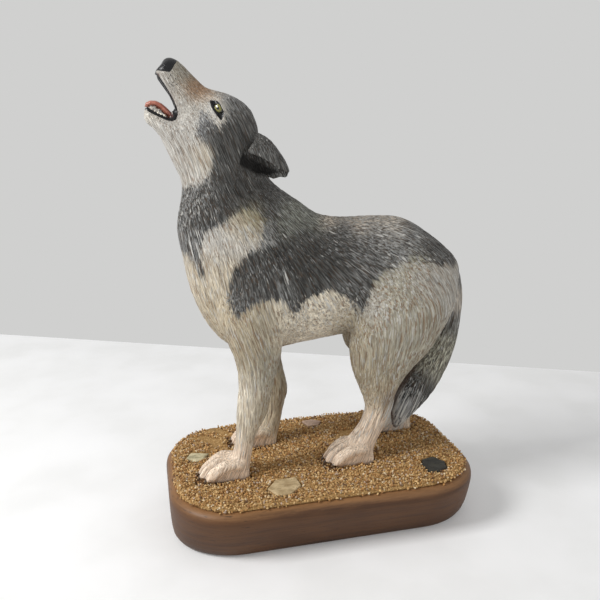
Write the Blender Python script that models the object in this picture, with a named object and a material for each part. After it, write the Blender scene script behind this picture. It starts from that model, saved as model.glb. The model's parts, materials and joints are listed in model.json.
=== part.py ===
# Howling wolf figurine: a carved wolf standing in grit on a rounded wooden base.
# Metres, +Z up. The origin is the centre of the base's footprint, and the wolf faces -X.

import math
import random

import bmesh
import bpy
from mathutils import Vector

# Fit between touching pieces
GAP = 0.0003

# Base block
BASE_LENGTH = 0.140
BASE_WIDTH = 0.0865
BASE_HEIGHT = 0.0235
BASE_CORNER_RADIUS = 0.029
BASE_CORNER_STEPS = 9
# Its side, from the foot up: share of the height, inset of the ends, inset of the long sides
BASE_PROFILE = [
    (0.000, 0.0030, 0.0084),
    (0.050, 0.0014, 0.0070),
    (0.250, 0.0006, 0.0048),
    (0.500, 0.0002, 0.0024),
    (0.720, 0.0000, 0.0006),
    (0.830, 0.0000, 0.0000),
    (0.920, 0.0005, 0.0005),
    (0.975, 0.0015, 0.0015),
    (1.000, 0.0029, 0.0029),
]

# Bed of glued grit
SAND_RIM_INSET = 0.0031
SAND_THICKNESS = 0.0016
SAND_EDGE_ROUND = 0.0005
# Its uneven top: spacing of its high and low places, and how far they lie off the level
SAND_LUMP_SPACING = 0.0033
SAND_LUMP_RISE = 0.0006
SAND_LUMP_DIP = 0.0003
SAND_LUMP_DRIFT = 0.0007
SAND_LUMP_SEED = 5
PAW_CLEARANCE = 0.0005

# Flat stones
STONE_BEVEL = 0.0004
STONE_CLEARANCE = 0.0003

# Glass eyes: behind and below the middle of the nose, and out from the mid plane
EYE_RADIUS = 0.0026
EYE_BACK = 0.0183
EYE_DROP = 0.0172
EYE_SIDE = 0.0093

# The carving, WOLF_HEIGHT tall from its soles to its nose. Its ribs are drawn with the
# soles at BLANK_SOLE_Z and the nose BLANK_HEIGHT above them.
WOLF_Y = 0.002
WOLF_HEIGHT = 0.1779
SOLE_Z = BASE_HEIGHT + GAP
BLANK_SOLE_Z = 0.0238
BLANK_HEIGHT = 0.1779
RING_POINTS = 24
RIB_STEPS = 3
SKIN_VOXEL = 0.0008
FINE_PASSES = 3
BODY_PASSES = 36
WOLF_FACE_SHARE = 0.0445
SOLE_FLAT = 0.0004
# Where the smoothing of the trunk fades out, from full to none
LEG_FADE_Z = (0.078, 0.046)
NECK_FADE_Z = (0.155, 0.170)
EAR_FADE_X = (-0.030, -0.024)
EAR_FADE_Z = (0.149, 0.154)
TAIL_FADE_X = (0.055, 0.062)
TAIL_FADE_Z = (0.114, 0.104)
TAIL_FADE_SHARE = 0.8

# Ribs of the trunk from the rump to the brow: x and z on the back, x and z on
# the belly side, half width, and how much wider the rib is low down.
TRUNK_RIBS = [
    (0.0690, 0.1120, 0.0680, 0.1020, 0.0040, 0.0),
    (0.0665, 0.1175, 0.0620, 0.0930, 0.0115, 0.0),
    (0.0580, 0.1250, 0.0510, 0.0850, 0.0165, 0.0),
    (0.0480, 0.1320, 0.0390, 0.0825, 0.0180, 0.0),
    (0.0380, 0.1365, 0.0280, 0.0835, 0.0175, 0.0),
    (0.0280, 0.1370, 0.0180, 0.0835, 0.0165, 0.0),
    (0.0180, 0.1370, 0.0080, 0.0825, 0.0170, 0.05),
    (0.0080, 0.1372, -0.0040, 0.0810, 0.0185, 0.10),
    (0.0000, 0.1392, -0.0160, 0.0795, 0.0195, 0.12),
    (-0.0070, 0.1445, -0.0290, 0.0785, 0.0200, 0.10),
    (-0.0130, 0.1480, -0.0400, 0.0815, 0.0195, 0.05),
    (-0.0170, 0.1510, -0.0492, 0.0920, 0.0185, 0.0),
    (-0.0200, 0.1537, -0.0556, 0.1070, 0.0172, 0.0),
    (-0.0215, 0.1572, -0.0582, 0.1220, 0.0162, 0.0),
    (-0.0230, 0.1612, -0.0602, 0.1340, 0.0155, 0.0),
    (-0.0240, 0.1660, -0.0582, 0.1450, 0.0146, 0.0),
    (-0.0243, 0.1712, -0.0572, 0.1530, 0.0143, 0.0),
    (-0.0248, 0.1764, -0.0600, 0.1600, 0.0141, 0.0),
    (-0.0273, 0.1820, -0.0628, 0.1665, 0.0133, -0.06),
    (-0.0323, 0.1862, -0.0645, 0.1712, 0.0116, -0.14),
    (-0.0385, 0.1888, -0.0610, 0.1758, 0.0090, -0.22),
]

# Ribs of the muzzle: x and z on the bridge, x and z on the lip, half width
MUZZLE_RIBS = [
    (-0.0340, 0.1870, -0.0480, 0.1690, 0.0104, -0.10),
    (-0.0405, 0.1892, -0.0545, 0.1750, 0.0099, 0.05),
    (-0.0458, 0.1908, -0.0578, 0.1812, 0.0081, 0.15),
    (-0.0496, 0.1943, -0.0594, 0.1868, 0.0066, 0.20),
    (-0.0528, 0.1976, -0.0618, 0.1906, 0.0058, 0.20),
    (-0.0555, 0.2002, -0.0643, 0.1938, 0.0052, 0.16),
    (-0.0577, 0.2015, -0.0656, 0.1957, 0.0045, 0.08),
    (-0.0600, 0.2014, -0.0645, 0.1974, 0.0032, 0.0),
]

# Ribs of the lower jaw: x and z on the lip, x and z under the chin, half width
JAW_RIBS = [
    (-0.0500, 0.1790, -0.0580, 0.1620, 0.0108, 0.0),
    (-0.0560, 0.1784, -0.0620, 0.1680, 0.0093, 0.0),
    (-0.0605, 0.1784, -0.0650, 0.1718, 0.0077, 0.0),
    (-0.0642, 0.1797, -0.0674, 0.1748, 0.0063, 0.0),
    (-0.0678, 0.1815, -0.0698, 0.1765, 0.0048, 0.0),
    (-0.0702, 0.1829, -0.0708, 0.1790, 0.0028, 0.0),
]

# Legs: front edge x and z, rear edge x and z, half width, y from the wolf's mid
# plane. The left legs are on the -Y side.
LEFT_FORELEG_RIBS = [
    (-0.0400, 0.1200, -0.0120, 0.1230, 0.0060, -0.0080),
    (-0.0455, 0.1080, -0.0130, 0.1090, 0.0085, -0.0110),
    (-0.0455, 0.0970, -0.0160, 0.0970, 0.0085, -0.0128),
    (-0.0428, 0.0880, -0.0178, 0.0880, 0.0078, -0.0135),
    (-0.0400, 0.0805, -0.0187, 0.0805, 0.0070, -0.0140),
    (-0.0386, 0.0740, -0.0203, 0.0740, 0.0063, -0.0140),
    (-0.0382, 0.0670, -0.0226, 0.0670, 0.0058, -0.0140),
    (-0.0389, 0.0600, -0.0240, 0.0600, 0.0055, -0.0140),
    (-0.0395, 0.0525, -0.0258, 0.0525, 0.0051, -0.0140),
    (-0.0399, 0.0450, -0.0298, 0.0465, 0.0047, -0.0140),
    (-0.0404, 0.0400, -0.0318, 0.0405, 0.0046, -0.0138),
    (-0.0415, 0.0355, -0.0330, 0.0345, 0.0050, -0.0136),
    (-0.0430, 0.0315, -0.0340, 0.0290, 0.0055, -0.0134),
    (-0.0440, 0.0280, -0.0343, 0.0252, 0.0055, -0.0134),
]
RIGHT_FORELEG_RIBS = [
    (-0.0360, 0.1200, -0.0080, 0.1230, 0.0060, 0.0080),
    (-0.0400, 0.1080, -0.0090, 0.1090, 0.0085, 0.0110),
    (-0.0385, 0.0970, -0.0115, 0.0970, 0.0085, 0.0128),
    (-0.0350, 0.0880, -0.0130, 0.0880, 0.0078, 0.0140),
    (-0.0318, 0.0805, -0.0133, 0.0805, 0.0070, 0.0148),
    (-0.0290, 0.0720, -0.0130, 0.0720, 0.0062, 0.0152),
    (-0.0270, 0.0650, -0.0122, 0.0650, 0.0058, 0.0155),
    (-0.0252, 0.0575, -0.0103, 0.0570, 0.0055, 0.0157),
    (-0.0242, 0.0515, -0.0096, 0.0515, 0.0052, 0.0158),
    (-0.0238, 0.0460, -0.0112, 0.0460, 0.0049, 0.0158),
    (-0.0238, 0.0410, -0.0126, 0.0410, 0.0047, 0.0158),
    (-0.0245, 0.0365, -0.0135, 0.0355, 0.0049, 0.0158),
    (-0.0262, 0.0325, -0.0152, 0.0295, 0.0055, 0.0158),
    (-0.0270, 0.0280, -0.0160, 0.0252, 0.0055, 0.0158),
]
LEFT_HIND_LEG_RIBS = [
    (0.0240, 0.1190, 0.0620, 0.1180, 0.0075, -0.0085),
    (0.0175, 0.1050, 0.0645, 0.1040, 0.0092, -0.0110),
    (0.0140, 0.0930, 0.0618, 0.0945, 0.0095, -0.0125),
    (0.0120, 0.0830, 0.0562, 0.0840, 0.0090, -0.0132),
    (0.0118, 0.0755, 0.0505, 0.0755, 0.0081, -0.0136),
    (0.0134, 0.0685, 0.0430, 0.0690, 0.0071, -0.0138),
    (0.0162, 0.0615, 0.0375, 0.0625, 0.0061, -0.0138),
    (0.0188, 0.0555, 0.0346, 0.0570, 0.0053, -0.0138),
    (0.0198, 0.0505, 0.0335, 0.0515, 0.0048, -0.0138),
    (0.0182, 0.0455, 0.0320, 0.0455, 0.0045, -0.0138),
    (0.0155, 0.0408, 0.0288, 0.0400, 0.0045, -0.0136),
    (0.0122, 0.0368, 0.0262, 0.0350, 0.0048, -0.0134),
    (0.0085, 0.0335, 0.0245, 0.0295, 0.0055, -0.0132),
    (0.0085, 0.0285, 0.0238, 0.0252, 0.0055, -0.0132),
]
RIGHT_HIND_LEG_RIBS = [
    (0.0260, 0.1190, 0.0620, 0.1180, 0.0075, 0.0085),
    (0.0220, 0.1050, 0.0650, 0.1040, 0.0092, 0.0110),
    (0.0185, 0.0930, 0.0650, 0.0930, 0.0095, 0.0125),
    (0.0162, 0.0805, 0.0640, 0.0830, 0.0090, 0.0135),
    (0.0192, 0.0712, 0.0620, 0.0750, 0.0080, 0.0142),
    (0.0270, 0.0640, 0.0600, 0.0670, 0.0069, 0.0148),
    (0.0345, 0.0575, 0.0588, 0.0590, 0.0058, 0.0152),
    (0.0410, 0.0520, 0.0588, 0.0520, 0.0050, 0.0155),
    (0.0440, 0.0460, 0.0585, 0.0455, 0.0046, 0.0158),
    (0.0440, 0.0410, 0.0572, 0.0400, 0.0045, 0.0159),
    (0.0425, 0.0368, 0.0562, 0.0350, 0.0048, 0.0160),
    (0.0395, 0.0335, 0.0550, 0.0295, 0.0055, 0.0160),
    (0.0395, 0.0285, 0.0542, 0.0252, 0.0055, 0.0160),
]

# Tail along its middle: x, z, half depth, half width, y from the mid plane
TAIL_STATIONS = [
    (0.0620, 0.1150, 0.0035, 0.0035, 0.0),
    (0.0655, 0.1080, 0.0050, 0.0048, 0.0),
    (0.0670, 0.0990, 0.0054, 0.0052, 0.0),
    (0.0667, 0.0900, 0.0056, 0.0054, -0.0002),
    (0.0651, 0.0810, 0.0062, 0.0056, -0.0006),
    (0.0616, 0.0720, 0.0072, 0.0059, -0.0015),
    (0.0561, 0.0638, 0.0083, 0.0061, -0.0030),
    (0.0502, 0.0565, 0.0087, 0.0060, -0.0045),
    (0.0446, 0.0503, 0.0078, 0.0054, -0.0060),
    (0.0406, 0.0447, 0.0058, 0.0044, -0.0072),
    (0.0380, 0.0398, 0.0034, 0.0030, -0.0080),
    (0.0366, 0.0362, 0.0010, 0.0010, -0.0084),
]

# Ears, laid back like deep cups: root and tip on the line of the opening, and the
# way the cup bulges, all for the left one
EAR_ROOT = (-0.0290, -0.0098, 0.1603)
EAR_TIP = (-0.0143, -0.0140, 0.1556)
EAR_BACK = (0.30, 0.10, 0.95)
EAR_WALL = 0.0020
EAR_TURNS = 10
# The outer rim stops this far round, which shows the hollow from the side
EAR_OPEN_ANGLE = math.radians(24)
# Along the ear: share of its length, half width, depth of the cup
EAR_STATIONS = [
    (-0.10, 0.0062, 0.0134),
    (0.10, 0.0062, 0.0129),
    (0.30, 0.0059, 0.0115),
    (0.50, 0.0052, 0.0094),
    (0.70, 0.0042, 0.0068),
    (0.88, 0.0029, 0.0041),
    (1.00, 0.0017, 0.0022),
]

# Paws: x of the heel and y from the mid plane, for each leg
PAWS = {
    "left_fore": (-0.0345, -0.0134),
    "right_fore": (-0.0163, 0.0158),
    "left_hind": (0.0240, -0.0132),
    "right_hind": (0.0545, 0.0160),
}
PAW_LENGTH_FORE = 0.0205
PAW_LENGTH_HIND = 0.0225
PAW_HALF_WIDTH = 0.0060
# Pad along the paw: share of its length from the heel, top height, half width share
PAD_STATIONS = [
    (0.00, 0.0046, 0.66),
    (0.07, 0.0074, 0.84),
    (0.22, 0.0098, 0.96),
    (0.40, 0.0108, 1.00),
    (0.58, 0.0100, 1.00),
    (0.74, 0.0076, 0.92),
    (0.84, 0.0048, 0.70),
]
PAD_BURIED = 0.0030
# Toes: places across the paw, in steps of TOE_SPREAD from its middle
INNER_TOE = 0.5
OUTER_TOE = 1.5
TOE_SPREAD = 0.0035
TOE_SPLAY = 0.05
OUTER_TOE_SETBACK = 0.0026
# Toe along its middle, from the knuckle forward: distance, height, radius
TOE_STATIONS = [
    (-0.0080, 0.0072, 0.0019),
    (-0.0040, 0.0084, 0.0023),
    (0.0000, 0.0084, 0.0025),
    (0.0036, 0.0064, 0.0025),
    (0.0060, 0.0040, 0.0023),
    (0.0072, 0.0026, 0.0016),
]
CLAW_STATIONS = [
    (0.0060, 0.0040, 0.0010),
    (0.0082, 0.0034, 0.0009),
    (0.0096, 0.0016, 0.0005),
]
TOE_KNUCKLE_SHARE = 0.66
TOE_RING_POINTS = 12

# Swellings under the coat: centre and radii, left and right alike
SWELLINGS = {
    "brow": ((-0.0392, 0.0064, 0.1846), (0.0066, 0.0038, 0.0027)),
    "cheek": ((-0.0450, 0.0064, 0.1690), (0.0110, 0.0078, 0.0130)),
    "shoulder": ((-0.0270, 0.0100, 0.1080), (0.0165, 0.0105, 0.0230)),
    "haunch": ((0.0420, 0.0100, 0.0990), (0.0200, 0.0105, 0.0240)),
}
NOSE_CENTRE = (-0.0595, 0.0, 0.1993)
NOSE_RADII = (0.0030, 0.0031, 0.0026)

# The tongue, arched from the mouth's corner to the chin: as the tail's columns
TONGUE_STATIONS = [
    (-0.0575, 0.1776, 0.0016, 0.0040, 0.0),
    (-0.0604, 0.1796, 0.0022, 0.0040, 0.0),
    (-0.0638, 0.1819, 0.0025, 0.0037, 0.0),
    (-0.0667, 0.1832, 0.0022, 0.0032, 0.0),
    (-0.0690, 0.1833, 0.0014, 0.0024, 0.0),
    (-0.0701, 0.1832, 0.0007, 0.0012, 0.0),
]

# Flat stones: how far each stands proud of the grit, and its outline from above
STONES = {
    "stone_front": (0.0009, [
        (-0.0293, -0.0285), (-0.0262, -0.0352), (-0.0200, -0.0345),
        (-0.0143, -0.0290), (-0.0152, -0.0215), (-0.0247, -0.0222),
    ]),
    "stone_left": (0.0006, [
        (-0.0609, 0.0088), (-0.0570, 0.0034), (-0.0532, 0.0052),
        (-0.0495, 0.0108), (-0.0583, 0.0130),
    ]),
    "stone_right": (0.0007, [
        (0.0430, -0.0250), (0.0438, -0.0312), (0.0482, -0.0325), (0.0532, -0.0298),
        (0.0548, -0.0245), (0.0510, -0.0185), (0.0452, -0.0200),
    ]),
    "stone_rear": (0.0006, [
        (0.0012, 0.0350), (0.0028, 0.0282), (0.0086, 0.0278),
        (0.0116, 0.0325), (0.0070, 0.0358),
    ]),
}

COLOURS = {
    "wolf": ((0.47, 0.44, 0.40), 0.62),
    "base_block": ((0.23, 0.13, 0.08), 0.50),
    "sand_bed": ((0.60, 0.42, 0.22), 0.90),
    "stone_front": ((0.46, 0.38, 0.26), 0.80),
    "stone_left": ((0.30, 0.31, 0.25), 0.80),
    "stone_right": ((0.10, 0.11, 0.11), 0.75),
    "stone_rear": ((0.48, 0.39, 0.32), 0.80),
    "eye_left": ((0.50, 0.42, 0.06), 0.08),
    "eye_right": ((0.50, 0.42, 0.06), 0.08),
}


def clear_scene():
    for obj in list(bpy.data.objects):
        bpy.data.objects.remove(obj)


def make_object(name, bm, smooth_angle=math.radians(40)):
    """Puts a bmesh into the scene as an object, shaded smooth up to an angle."""
    bmesh.ops.recalc_face_normals(bm, faces=bm.faces)
    mesh = bpy.data.meshes.new(name)
    bm.to_mesh(mesh)
    bm.free()
    mesh.shade_smooth()
    mesh.set_sharp_from_angle(angle=smooth_angle)
    obj = bpy.data.objects.new(name, mesh)
    bpy.context.scene.collection.objects.link(obj)
    return obj


def paint(obj, colour, roughness):
    material = bpy.data.materials.new(obj.name + "_finish")
    material.use_nodes = True
    shader = material.node_tree.nodes["Principled BSDF"]
    shader.inputs["Base Color"].default_value = (*colour, 1.0)
    shader.inputs["Roughness"].default_value = roughness
    shader.inputs["Metallic"].default_value = 0.0
    obj.data.materials.clear()
    obj.data.materials.append(material)


def hide_helper(obj):
    obj.hide_render = True
    obj.display_type = "WIRE"


def apply_modifiers(obj):
    """Replaces the object's mesh by what its modifiers make of it."""
    bpy.context.view_layer.update()
    graph = bpy.context.evaluated_depsgraph_get()
    mesh = bpy.data.meshes.new_from_object(obj.evaluated_get(graph))
    obj.modifiers.clear()
    obj.data = mesh


def curve_through(rows, steps):
    """Rows of numbers with Catmull-Rom rows between them."""
    smooth = []
    last = len(rows) - 1
    for i in range(last):
        before, a, b, after = rows[max(i - 1, 0)], rows[i], rows[i + 1], rows[min(i + 2, last)]
        for step in range(steps):
            t = step / steps
            smooth.append(tuple(
                0.5 * (2 * q + (r - p) * t + (2 * p - 5 * q + 4 * r - s) * t * t
                       + (3 * q - p - 3 * r + s) * t ** 3)
                for p, q, r, s in zip(before, a, b, after)
            ))
    smooth.append(tuple(rows[last]))
    return smooth


def add_rings(bm, rings):
    """Skins a row of point rings and closes both ends with a fan."""
    loops = [[bm.verts.new(point) for point in ring] for ring in rings]
    count = len(loops[0])
    for first, second in zip(loops, loops[1:]):
        for i in range(count):
            j = (i + 1) % count
            bm.faces.new((first[i], first[j], second[j], second[i]))
    for loop in (loops[0], loops[-1]):
        hub = bm.verts.new(sum((v.co for v in loop), Vector()) / count)
        for i in range(count):
            bm.faces.new((loop[i], loop[(i + 1) % count], hub))


def rib_ring(rib, count):
    """An oval ring from one edge point to the other, wider low down by its skew."""
    ax, az, bx, bz, half_width, y, skew = rib
    middle = Vector(((ax + bx) / 2, WOLF_Y + y, (az + bz) / 2))
    reach = Vector(((ax - bx) / 2, 0, (az - bz) / 2))
    ring = []
    for i in range(count):
        angle = 2 * math.pi * i / count
        along, across = math.cos(angle), math.sin(angle)
        width = half_width * (1 - skew * along)
        ring.append(middle + reach * along + Vector((0, width * across, 0)))
    return ring


def add_trunk(bm, ribs):
    """Ribs on the mid plane: two edge points, half width and skew."""
    rows = [(a, b, c, d, w, 0.0, skew) for a, b, c, d, w, skew in ribs]
    add_rings(bm, [rib_ring(rib, RING_POINTS) for rib in curve_through(rows, RIB_STEPS)])


def add_leg(bm, ribs):
    """Ribs beside the mid plane: two edge points, half width and y."""
    rows = [(*rib, 0.0) for rib in ribs]
    add_rings(bm, [rib_ring(rib, RING_POINTS) for rib in curve_through(rows, RIB_STEPS)])


def add_stem(bm, stations, count):
    """A tube along x, z, half depth, half width and y, square to its own line."""
    rows = curve_through(stations, RIB_STEPS)
    rings = []
    for i, (x, z, depth, width, y) in enumerate(rows):
        before, after = rows[max(i - 1, 0)], rows[min(i + 1, len(rows) - 1)]
        along = Vector((after[0] - before[0], after[1] - before[1])).normalized()
        normal = Vector((-along.y, along.x)) * depth
        rib = (x + normal.x, z + normal.y, x - normal.x, z - normal.y, width, y, 0.0)
        rings.append(rib_ring(rib, count))
    add_rings(bm, rings)


def add_ear(bm, side):
    """A cupped leaf: its wall is an outer arc and, inside it, a smaller one."""
    mirror = Vector((1, -side, 1))
    root = Vector(EAR_ROOT) * mirror + Vector((0, WOLF_Y, 0))
    tip = Vector(EAR_TIP) * mirror + Vector((0, WOLF_Y, 0))
    axis = tip - root
    back = Vector(EAR_BACK) * mirror
    back = (back - back.project(axis)).normalized()
    edge = axis.normalized().cross(back) * -side
    turns = [
        EAR_OPEN_ANGLE + (math.pi - EAR_OPEN_ANGLE) * i / EAR_TURNS for i in range(EAR_TURNS + 1)
    ]
    rings = []
    for share, half_width, depth in curve_through(EAR_STATIONS, RIB_STEPS):
        middle = root + axis * share
        wall = EAR_WALL * min(1.0, half_width / EAR_STATIONS[3][1])
        outer = [middle + edge * half_width * math.cos(a) + back * depth * math.sin(a) for a in turns]
        inner = [
            middle + edge * (half_width - wall) * math.cos(a) + back * (depth - wall) * math.sin(a)
            for a in reversed(turns)
        ]
        rings.append(outer + inner)
    add_rings(bm, rings)


def add_ellipsoid(bm, centre, radii, side=1):
    made = bmesh.ops.create_uvsphere(bm, u_segments=24, v_segments=14, radius=1.0)
    for vert in made["verts"]:
        vert.co = Vector((
            centre[0] + radii[0] * vert.co.x,
            WOLF_Y + side * centre[1] + radii[1] * vert.co.y,
            centre[2] + radii[2] * vert.co.z,
        ))


def add_paw(bm, heel_x, paw_y, length):
    """The pad, four toes and their claws, standing on the wolf's soles."""
    pad = []
    for share, top, width_share in PAD_STATIONS:
        x = heel_x - share * length
        bottom = BLANK_SOLE_Z - PAD_BURIED
        pad.append((x, BLANK_SOLE_Z + top, x, bottom, PAW_HALF_WIDTH * width_share, paw_y, 0.0))
    add_rings(bm, [rib_ring(rib, RING_POINTS) for rib in curve_through(pad, RIB_STEPS)])
    for place in (-OUTER_TOE, -INNER_TOE, INNER_TOE, OUTER_TOE):
        knuckle_x = toe_knuckle(heel_x, length, place)
        for stations in (TOE_STATIONS, CLAW_STATIONS):
            toe = []
            for ahead, height, radius in stations:
                y = paw_y + place * (TOE_SPREAD + ahead * TOE_SPLAY)
                toe.append((knuckle_x - ahead, BLANK_SOLE_Z + height, radius, radius, y))
            add_stem(bm, toe, TOE_RING_POINTS)


def toe_knuckle(heel_x, length, place):
    """Where a toe bends: the outer two sit further back."""
    setback = OUTER_TOE_SETBACK if abs(place) > INNER_TOE else 0.0
    return heel_x - length * TOE_KNUCKLE_SHARE + setback


def paw_lengths():
    """Heel, y from the mid plane and length of every paw."""
    for name, (heel_x, paw_y) in PAWS.items():
        yield heel_x, paw_y, PAW_LENGTH_FORE if "fore" in name else PAW_LENGTH_HIND


def smooth_step(value, low, high):
    share = min(max((value - low) / (high - low), 0.0), 1.0)
    return share * share * (3 - 2 * share)


def fade(value, limits):
    """1 up to the first limit, falling smoothly to 0 at the second."""
    return 1 - smooth_step((value - limits[0]) / (limits[1] - limits[0]), 0, 1)


def carved_z(z):
    """The height on the standing carving of a height that the ribs are drawn at."""
    return SOLE_Z + (max(z, BLANK_SOLE_Z) - BLANK_SOLE_Z) * WOLF_HEIGHT / BLANK_HEIGHT


def drawn_z(z):
    return BLANK_SOLE_Z + (z - SOLE_Z) * BLANK_HEIGHT / WOLF_HEIGHT


def mark_body(wolf):
    """A vertex group, full on the trunk and haunches and empty on paws, head and tail."""
    group = wolf.vertex_groups.new(name="body")
    for vert in wolf.data.vertices:
        x, z = vert.co.x, drawn_z(vert.co.z)
        weight = fade(z, LEG_FADE_Z) * fade(z, NECK_FADE_Z)
        weight *= 1 - (1 - fade(x, EAR_FADE_X)) * (1 - fade(z, EAR_FADE_Z))
        weight *= 1 - TAIL_FADE_SHARE * (1 - fade(x, TAIL_FADE_X)) * (1 - fade(z, TAIL_FADE_Z))
        group.add([vert.index], weight, "REPLACE")


def put_in_order(obj):
    """Numbers the points and faces by their places, so that each build is the same."""
    points = [tuple(vert.co) for vert in obj.data.vertices]
    order = sorted(range(len(points)), key=points.__getitem__)
    place = {old: new for new, old in enumerate(order)}
    faces = []
    for face in obj.data.polygons:
        corners = [place[i] for i in face.vertices]
        first = corners.index(min(corners))
        faces.append(corners[first:] + corners[:first])
    sorted_mesh = bpy.data.meshes.new(obj.name)
    sorted_mesh.from_pydata([points[i] for i in order], [], sorted(faces))
    obj.data = sorted_mesh


def make_wolf():
    """All the carved masses, run together into one skin and thinned."""
    bm = bmesh.new()
    for ribs in (TRUNK_RIBS, MUZZLE_RIBS, JAW_RIBS):
        add_trunk(bm, ribs)
    for ribs in (LEFT_FORELEG_RIBS, RIGHT_FORELEG_RIBS, LEFT_HIND_LEG_RIBS, RIGHT_HIND_LEG_RIBS):
        add_leg(bm, ribs)
    add_stem(bm, TAIL_STATIONS, RING_POINTS)
    add_stem(bm, TONGUE_STATIONS, RING_POINTS)
    add_ellipsoid(bm, NOSE_CENTRE, NOSE_RADII)
    for heel_x, paw_y, length in paw_lengths():
        add_paw(bm, heel_x, paw_y, length)
    for side in (-1, 1):
        add_ear(bm, side)
        for centre, radii in SWELLINGS.values():
            add_ellipsoid(bm, centre, radii, side)
    for vert in bm.verts:
        vert.co.z = carved_z(vert.co.z)
    wolf = make_object("wolf", bm)
    skin = wolf.modifiers.new("skin", "REMESH")
    skin.mode = "VOXEL"
    skin.voxel_size = SKIN_VOXEL
    apply_modifiers(wolf)
    put_in_order(wolf)
    mark_body(wolf)
    blend = wolf.modifiers.new("blend", "SMOOTH")
    blend.iterations = BODY_PASSES
    blend.vertex_group = "body"
    fine = wolf.modifiers.new("fine", "SMOOTH")
    fine.iterations = FINE_PASSES
    apply_modifiers(wolf)
    for vert in wolf.data.vertices:
        if vert.co.z < SOLE_Z + SOLE_FLAT:
            vert.co.z = SOLE_Z
    thin = wolf.modifiers.new("thin", "DECIMATE")
    thin.ratio = WOLF_FACE_SHARE
    thin.use_collapse_triangulate = True
    apply_modifiers(wolf)
    wolf.vertex_groups.clear()
    return wolf


def cut_away(obj, cutter):
    cut = obj.modifiers.new("cut", "BOOLEAN")
    cut.operation = "DIFFERENCE"
    cut.solver = "EXACT"
    cut.object = cutter
    apply_modifiers(obj)
    hide_helper(cutter)


def eye_ball(name, side, radius):
    bm = bmesh.new()
    bmesh.ops.create_uvsphere(bm, u_segments=16, v_segments=10, radius=radius)
    middle_x, _, middle_z = NOSE_CENTRE
    eye_z = carved_z(middle_z - EYE_DROP)
    centre = Vector((middle_x + EYE_BACK, WOLF_Y + side * EYE_SIDE, eye_z))
    bmesh.ops.translate(bm, verts=bm.verts, vec=centre)
    return make_object(name, bm)


def rounded_outline(inset_x, inset_y):
    """The base's outline from above, drawn in by an inset at the ends and at the sides."""
    radius = BASE_CORNER_RADIUS - (inset_x + inset_y) / 2
    corner_x = BASE_LENGTH / 2 - inset_x - radius
    corner_y = BASE_WIDTH / 2 - inset_y - radius
    outline = []
    for quarter, (sx, sy) in enumerate(((1, 1), (-1, 1), (-1, -1), (1, -1))):
        for step in range(BASE_CORNER_STEPS + 1):
            angle = math.radians(90) * (quarter + step / BASE_CORNER_STEPS)
            outline.append((
                sx * corner_x + radius * math.cos(angle),
                sy * corner_y + radius * math.sin(angle),
            ))
    return outline


def add_layers(bm, layers):
    """Stacks outlines, each with its own height, and caps the lowest and highest flat."""
    loops = [[bm.verts.new((x, y, z)) for x, y in outline] for z, outline in layers]
    count = len(loops[0])
    for low, high in zip(loops, loops[1:]):
        for i in range(count):
            j = (i + 1) % count
            bm.faces.new((low[i], low[j], high[j], high[i]))
    bm.faces.new(list(reversed(loops[0])))
    bm.faces.new(loops[-1])


def grown(outline, distance):
    """A convex outline moved outwards by a distance, or inwards by a negative one."""
    count = len(outline)
    moved = []
    for i, point in enumerate(outline):
        here = Vector(point)
        into = (here - Vector(outline[i - 1])).normalized()
        out = (Vector(outline[(i + 1) % count]) - here).normalized()
        first, second = Vector((into.y, -into.x)), Vector((out.y, -out.x))
        moved.append(tuple(here + (first + second) * (distance / (1 + first.dot(second)))))
    return moved


def paw_outline(heel_x, paw_y, length):
    """The footprint of a paw with its toes and claws, as a convex outline."""
    y = WOLF_Y + paw_y
    toe_ahead, _, toe_radius = TOE_STATIONS[-2]
    front = toe_knuckle(heel_x, length, INNER_TOE) - CLAW_STATIONS[-1][0]
    outer_front = toe_knuckle(heel_x, length, OUTER_TOE) - CLAW_STATIONS[-1][0]
    inner_side = INNER_TOE * (TOE_SPREAD + CLAW_STATIONS[-1][0] * TOE_SPLAY) + toe_radius
    outer_side = OUTER_TOE * (TOE_SPREAD + toe_ahead * TOE_SPLAY) + toe_radius
    half = [
        (heel_x + toe_radius * 0.2, PAW_HALF_WIDTH * 0.60),
        (heel_x - length * 0.06, PAW_HALF_WIDTH * 0.90),
        (heel_x - length * 0.40, PAW_HALF_WIDTH * 1.04),
        (outer_front + toe_radius * 1.6, outer_side),
        (outer_front, outer_side - toe_radius * 0.6),
        (front, inner_side),
    ]
    left = [(x, y - side) for x, side in half]
    right = [(x, y + side) for x, side in reversed(half)]
    return list(reversed(left + right))


def make_base():
    bm = bmesh.new()
    add_layers(bm, [
        (share * BASE_HEIGHT, rounded_outline(inset_x, inset_y))
        for share, inset_x, inset_y in BASE_PROFILE
    ])
    return make_object("base_block", bm)


def make_lumpy(bm, top):
    """Divides the flat top into a grid and heaps its inner points up or down by chance."""
    for axis, length in enumerate((BASE_LENGTH, BASE_WIDTH)):
        lines = round(length / 2 / SAND_LUMP_SPACING)
        across = Vector([float(i == axis) for i in range(3)])
        for line in range(-lines, lines + 1):
            everything = [*bm.verts, *bm.edges, *bm.faces]
            place = across * (line * SAND_LUMP_SPACING)
            bmesh.ops.bisect_plane(bm, geom=everything, plane_co=place, plane_no=across)
    bm.normal_update()
    inner = [
        vert for vert in bm.verts
        if vert.co.z > top - GAP / 10 and all(face.normal.z > 0.9 for face in vert.link_faces)
    ]
    chance = random.Random(SAND_LUMP_SEED)
    for vert in sorted(inner, key=lambda vert: (round(vert.co.x, 5), round(vert.co.y, 5))):
        drift = [chance.uniform(-SAND_LUMP_DRIFT, SAND_LUMP_DRIFT) for _ in range(2)]
        vert.co += Vector((*drift, chance.uniform(-SAND_LUMP_DIP, SAND_LUMP_RISE)))
    bmesh.ops.triangulate(bm, faces=bm.faces)


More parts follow.
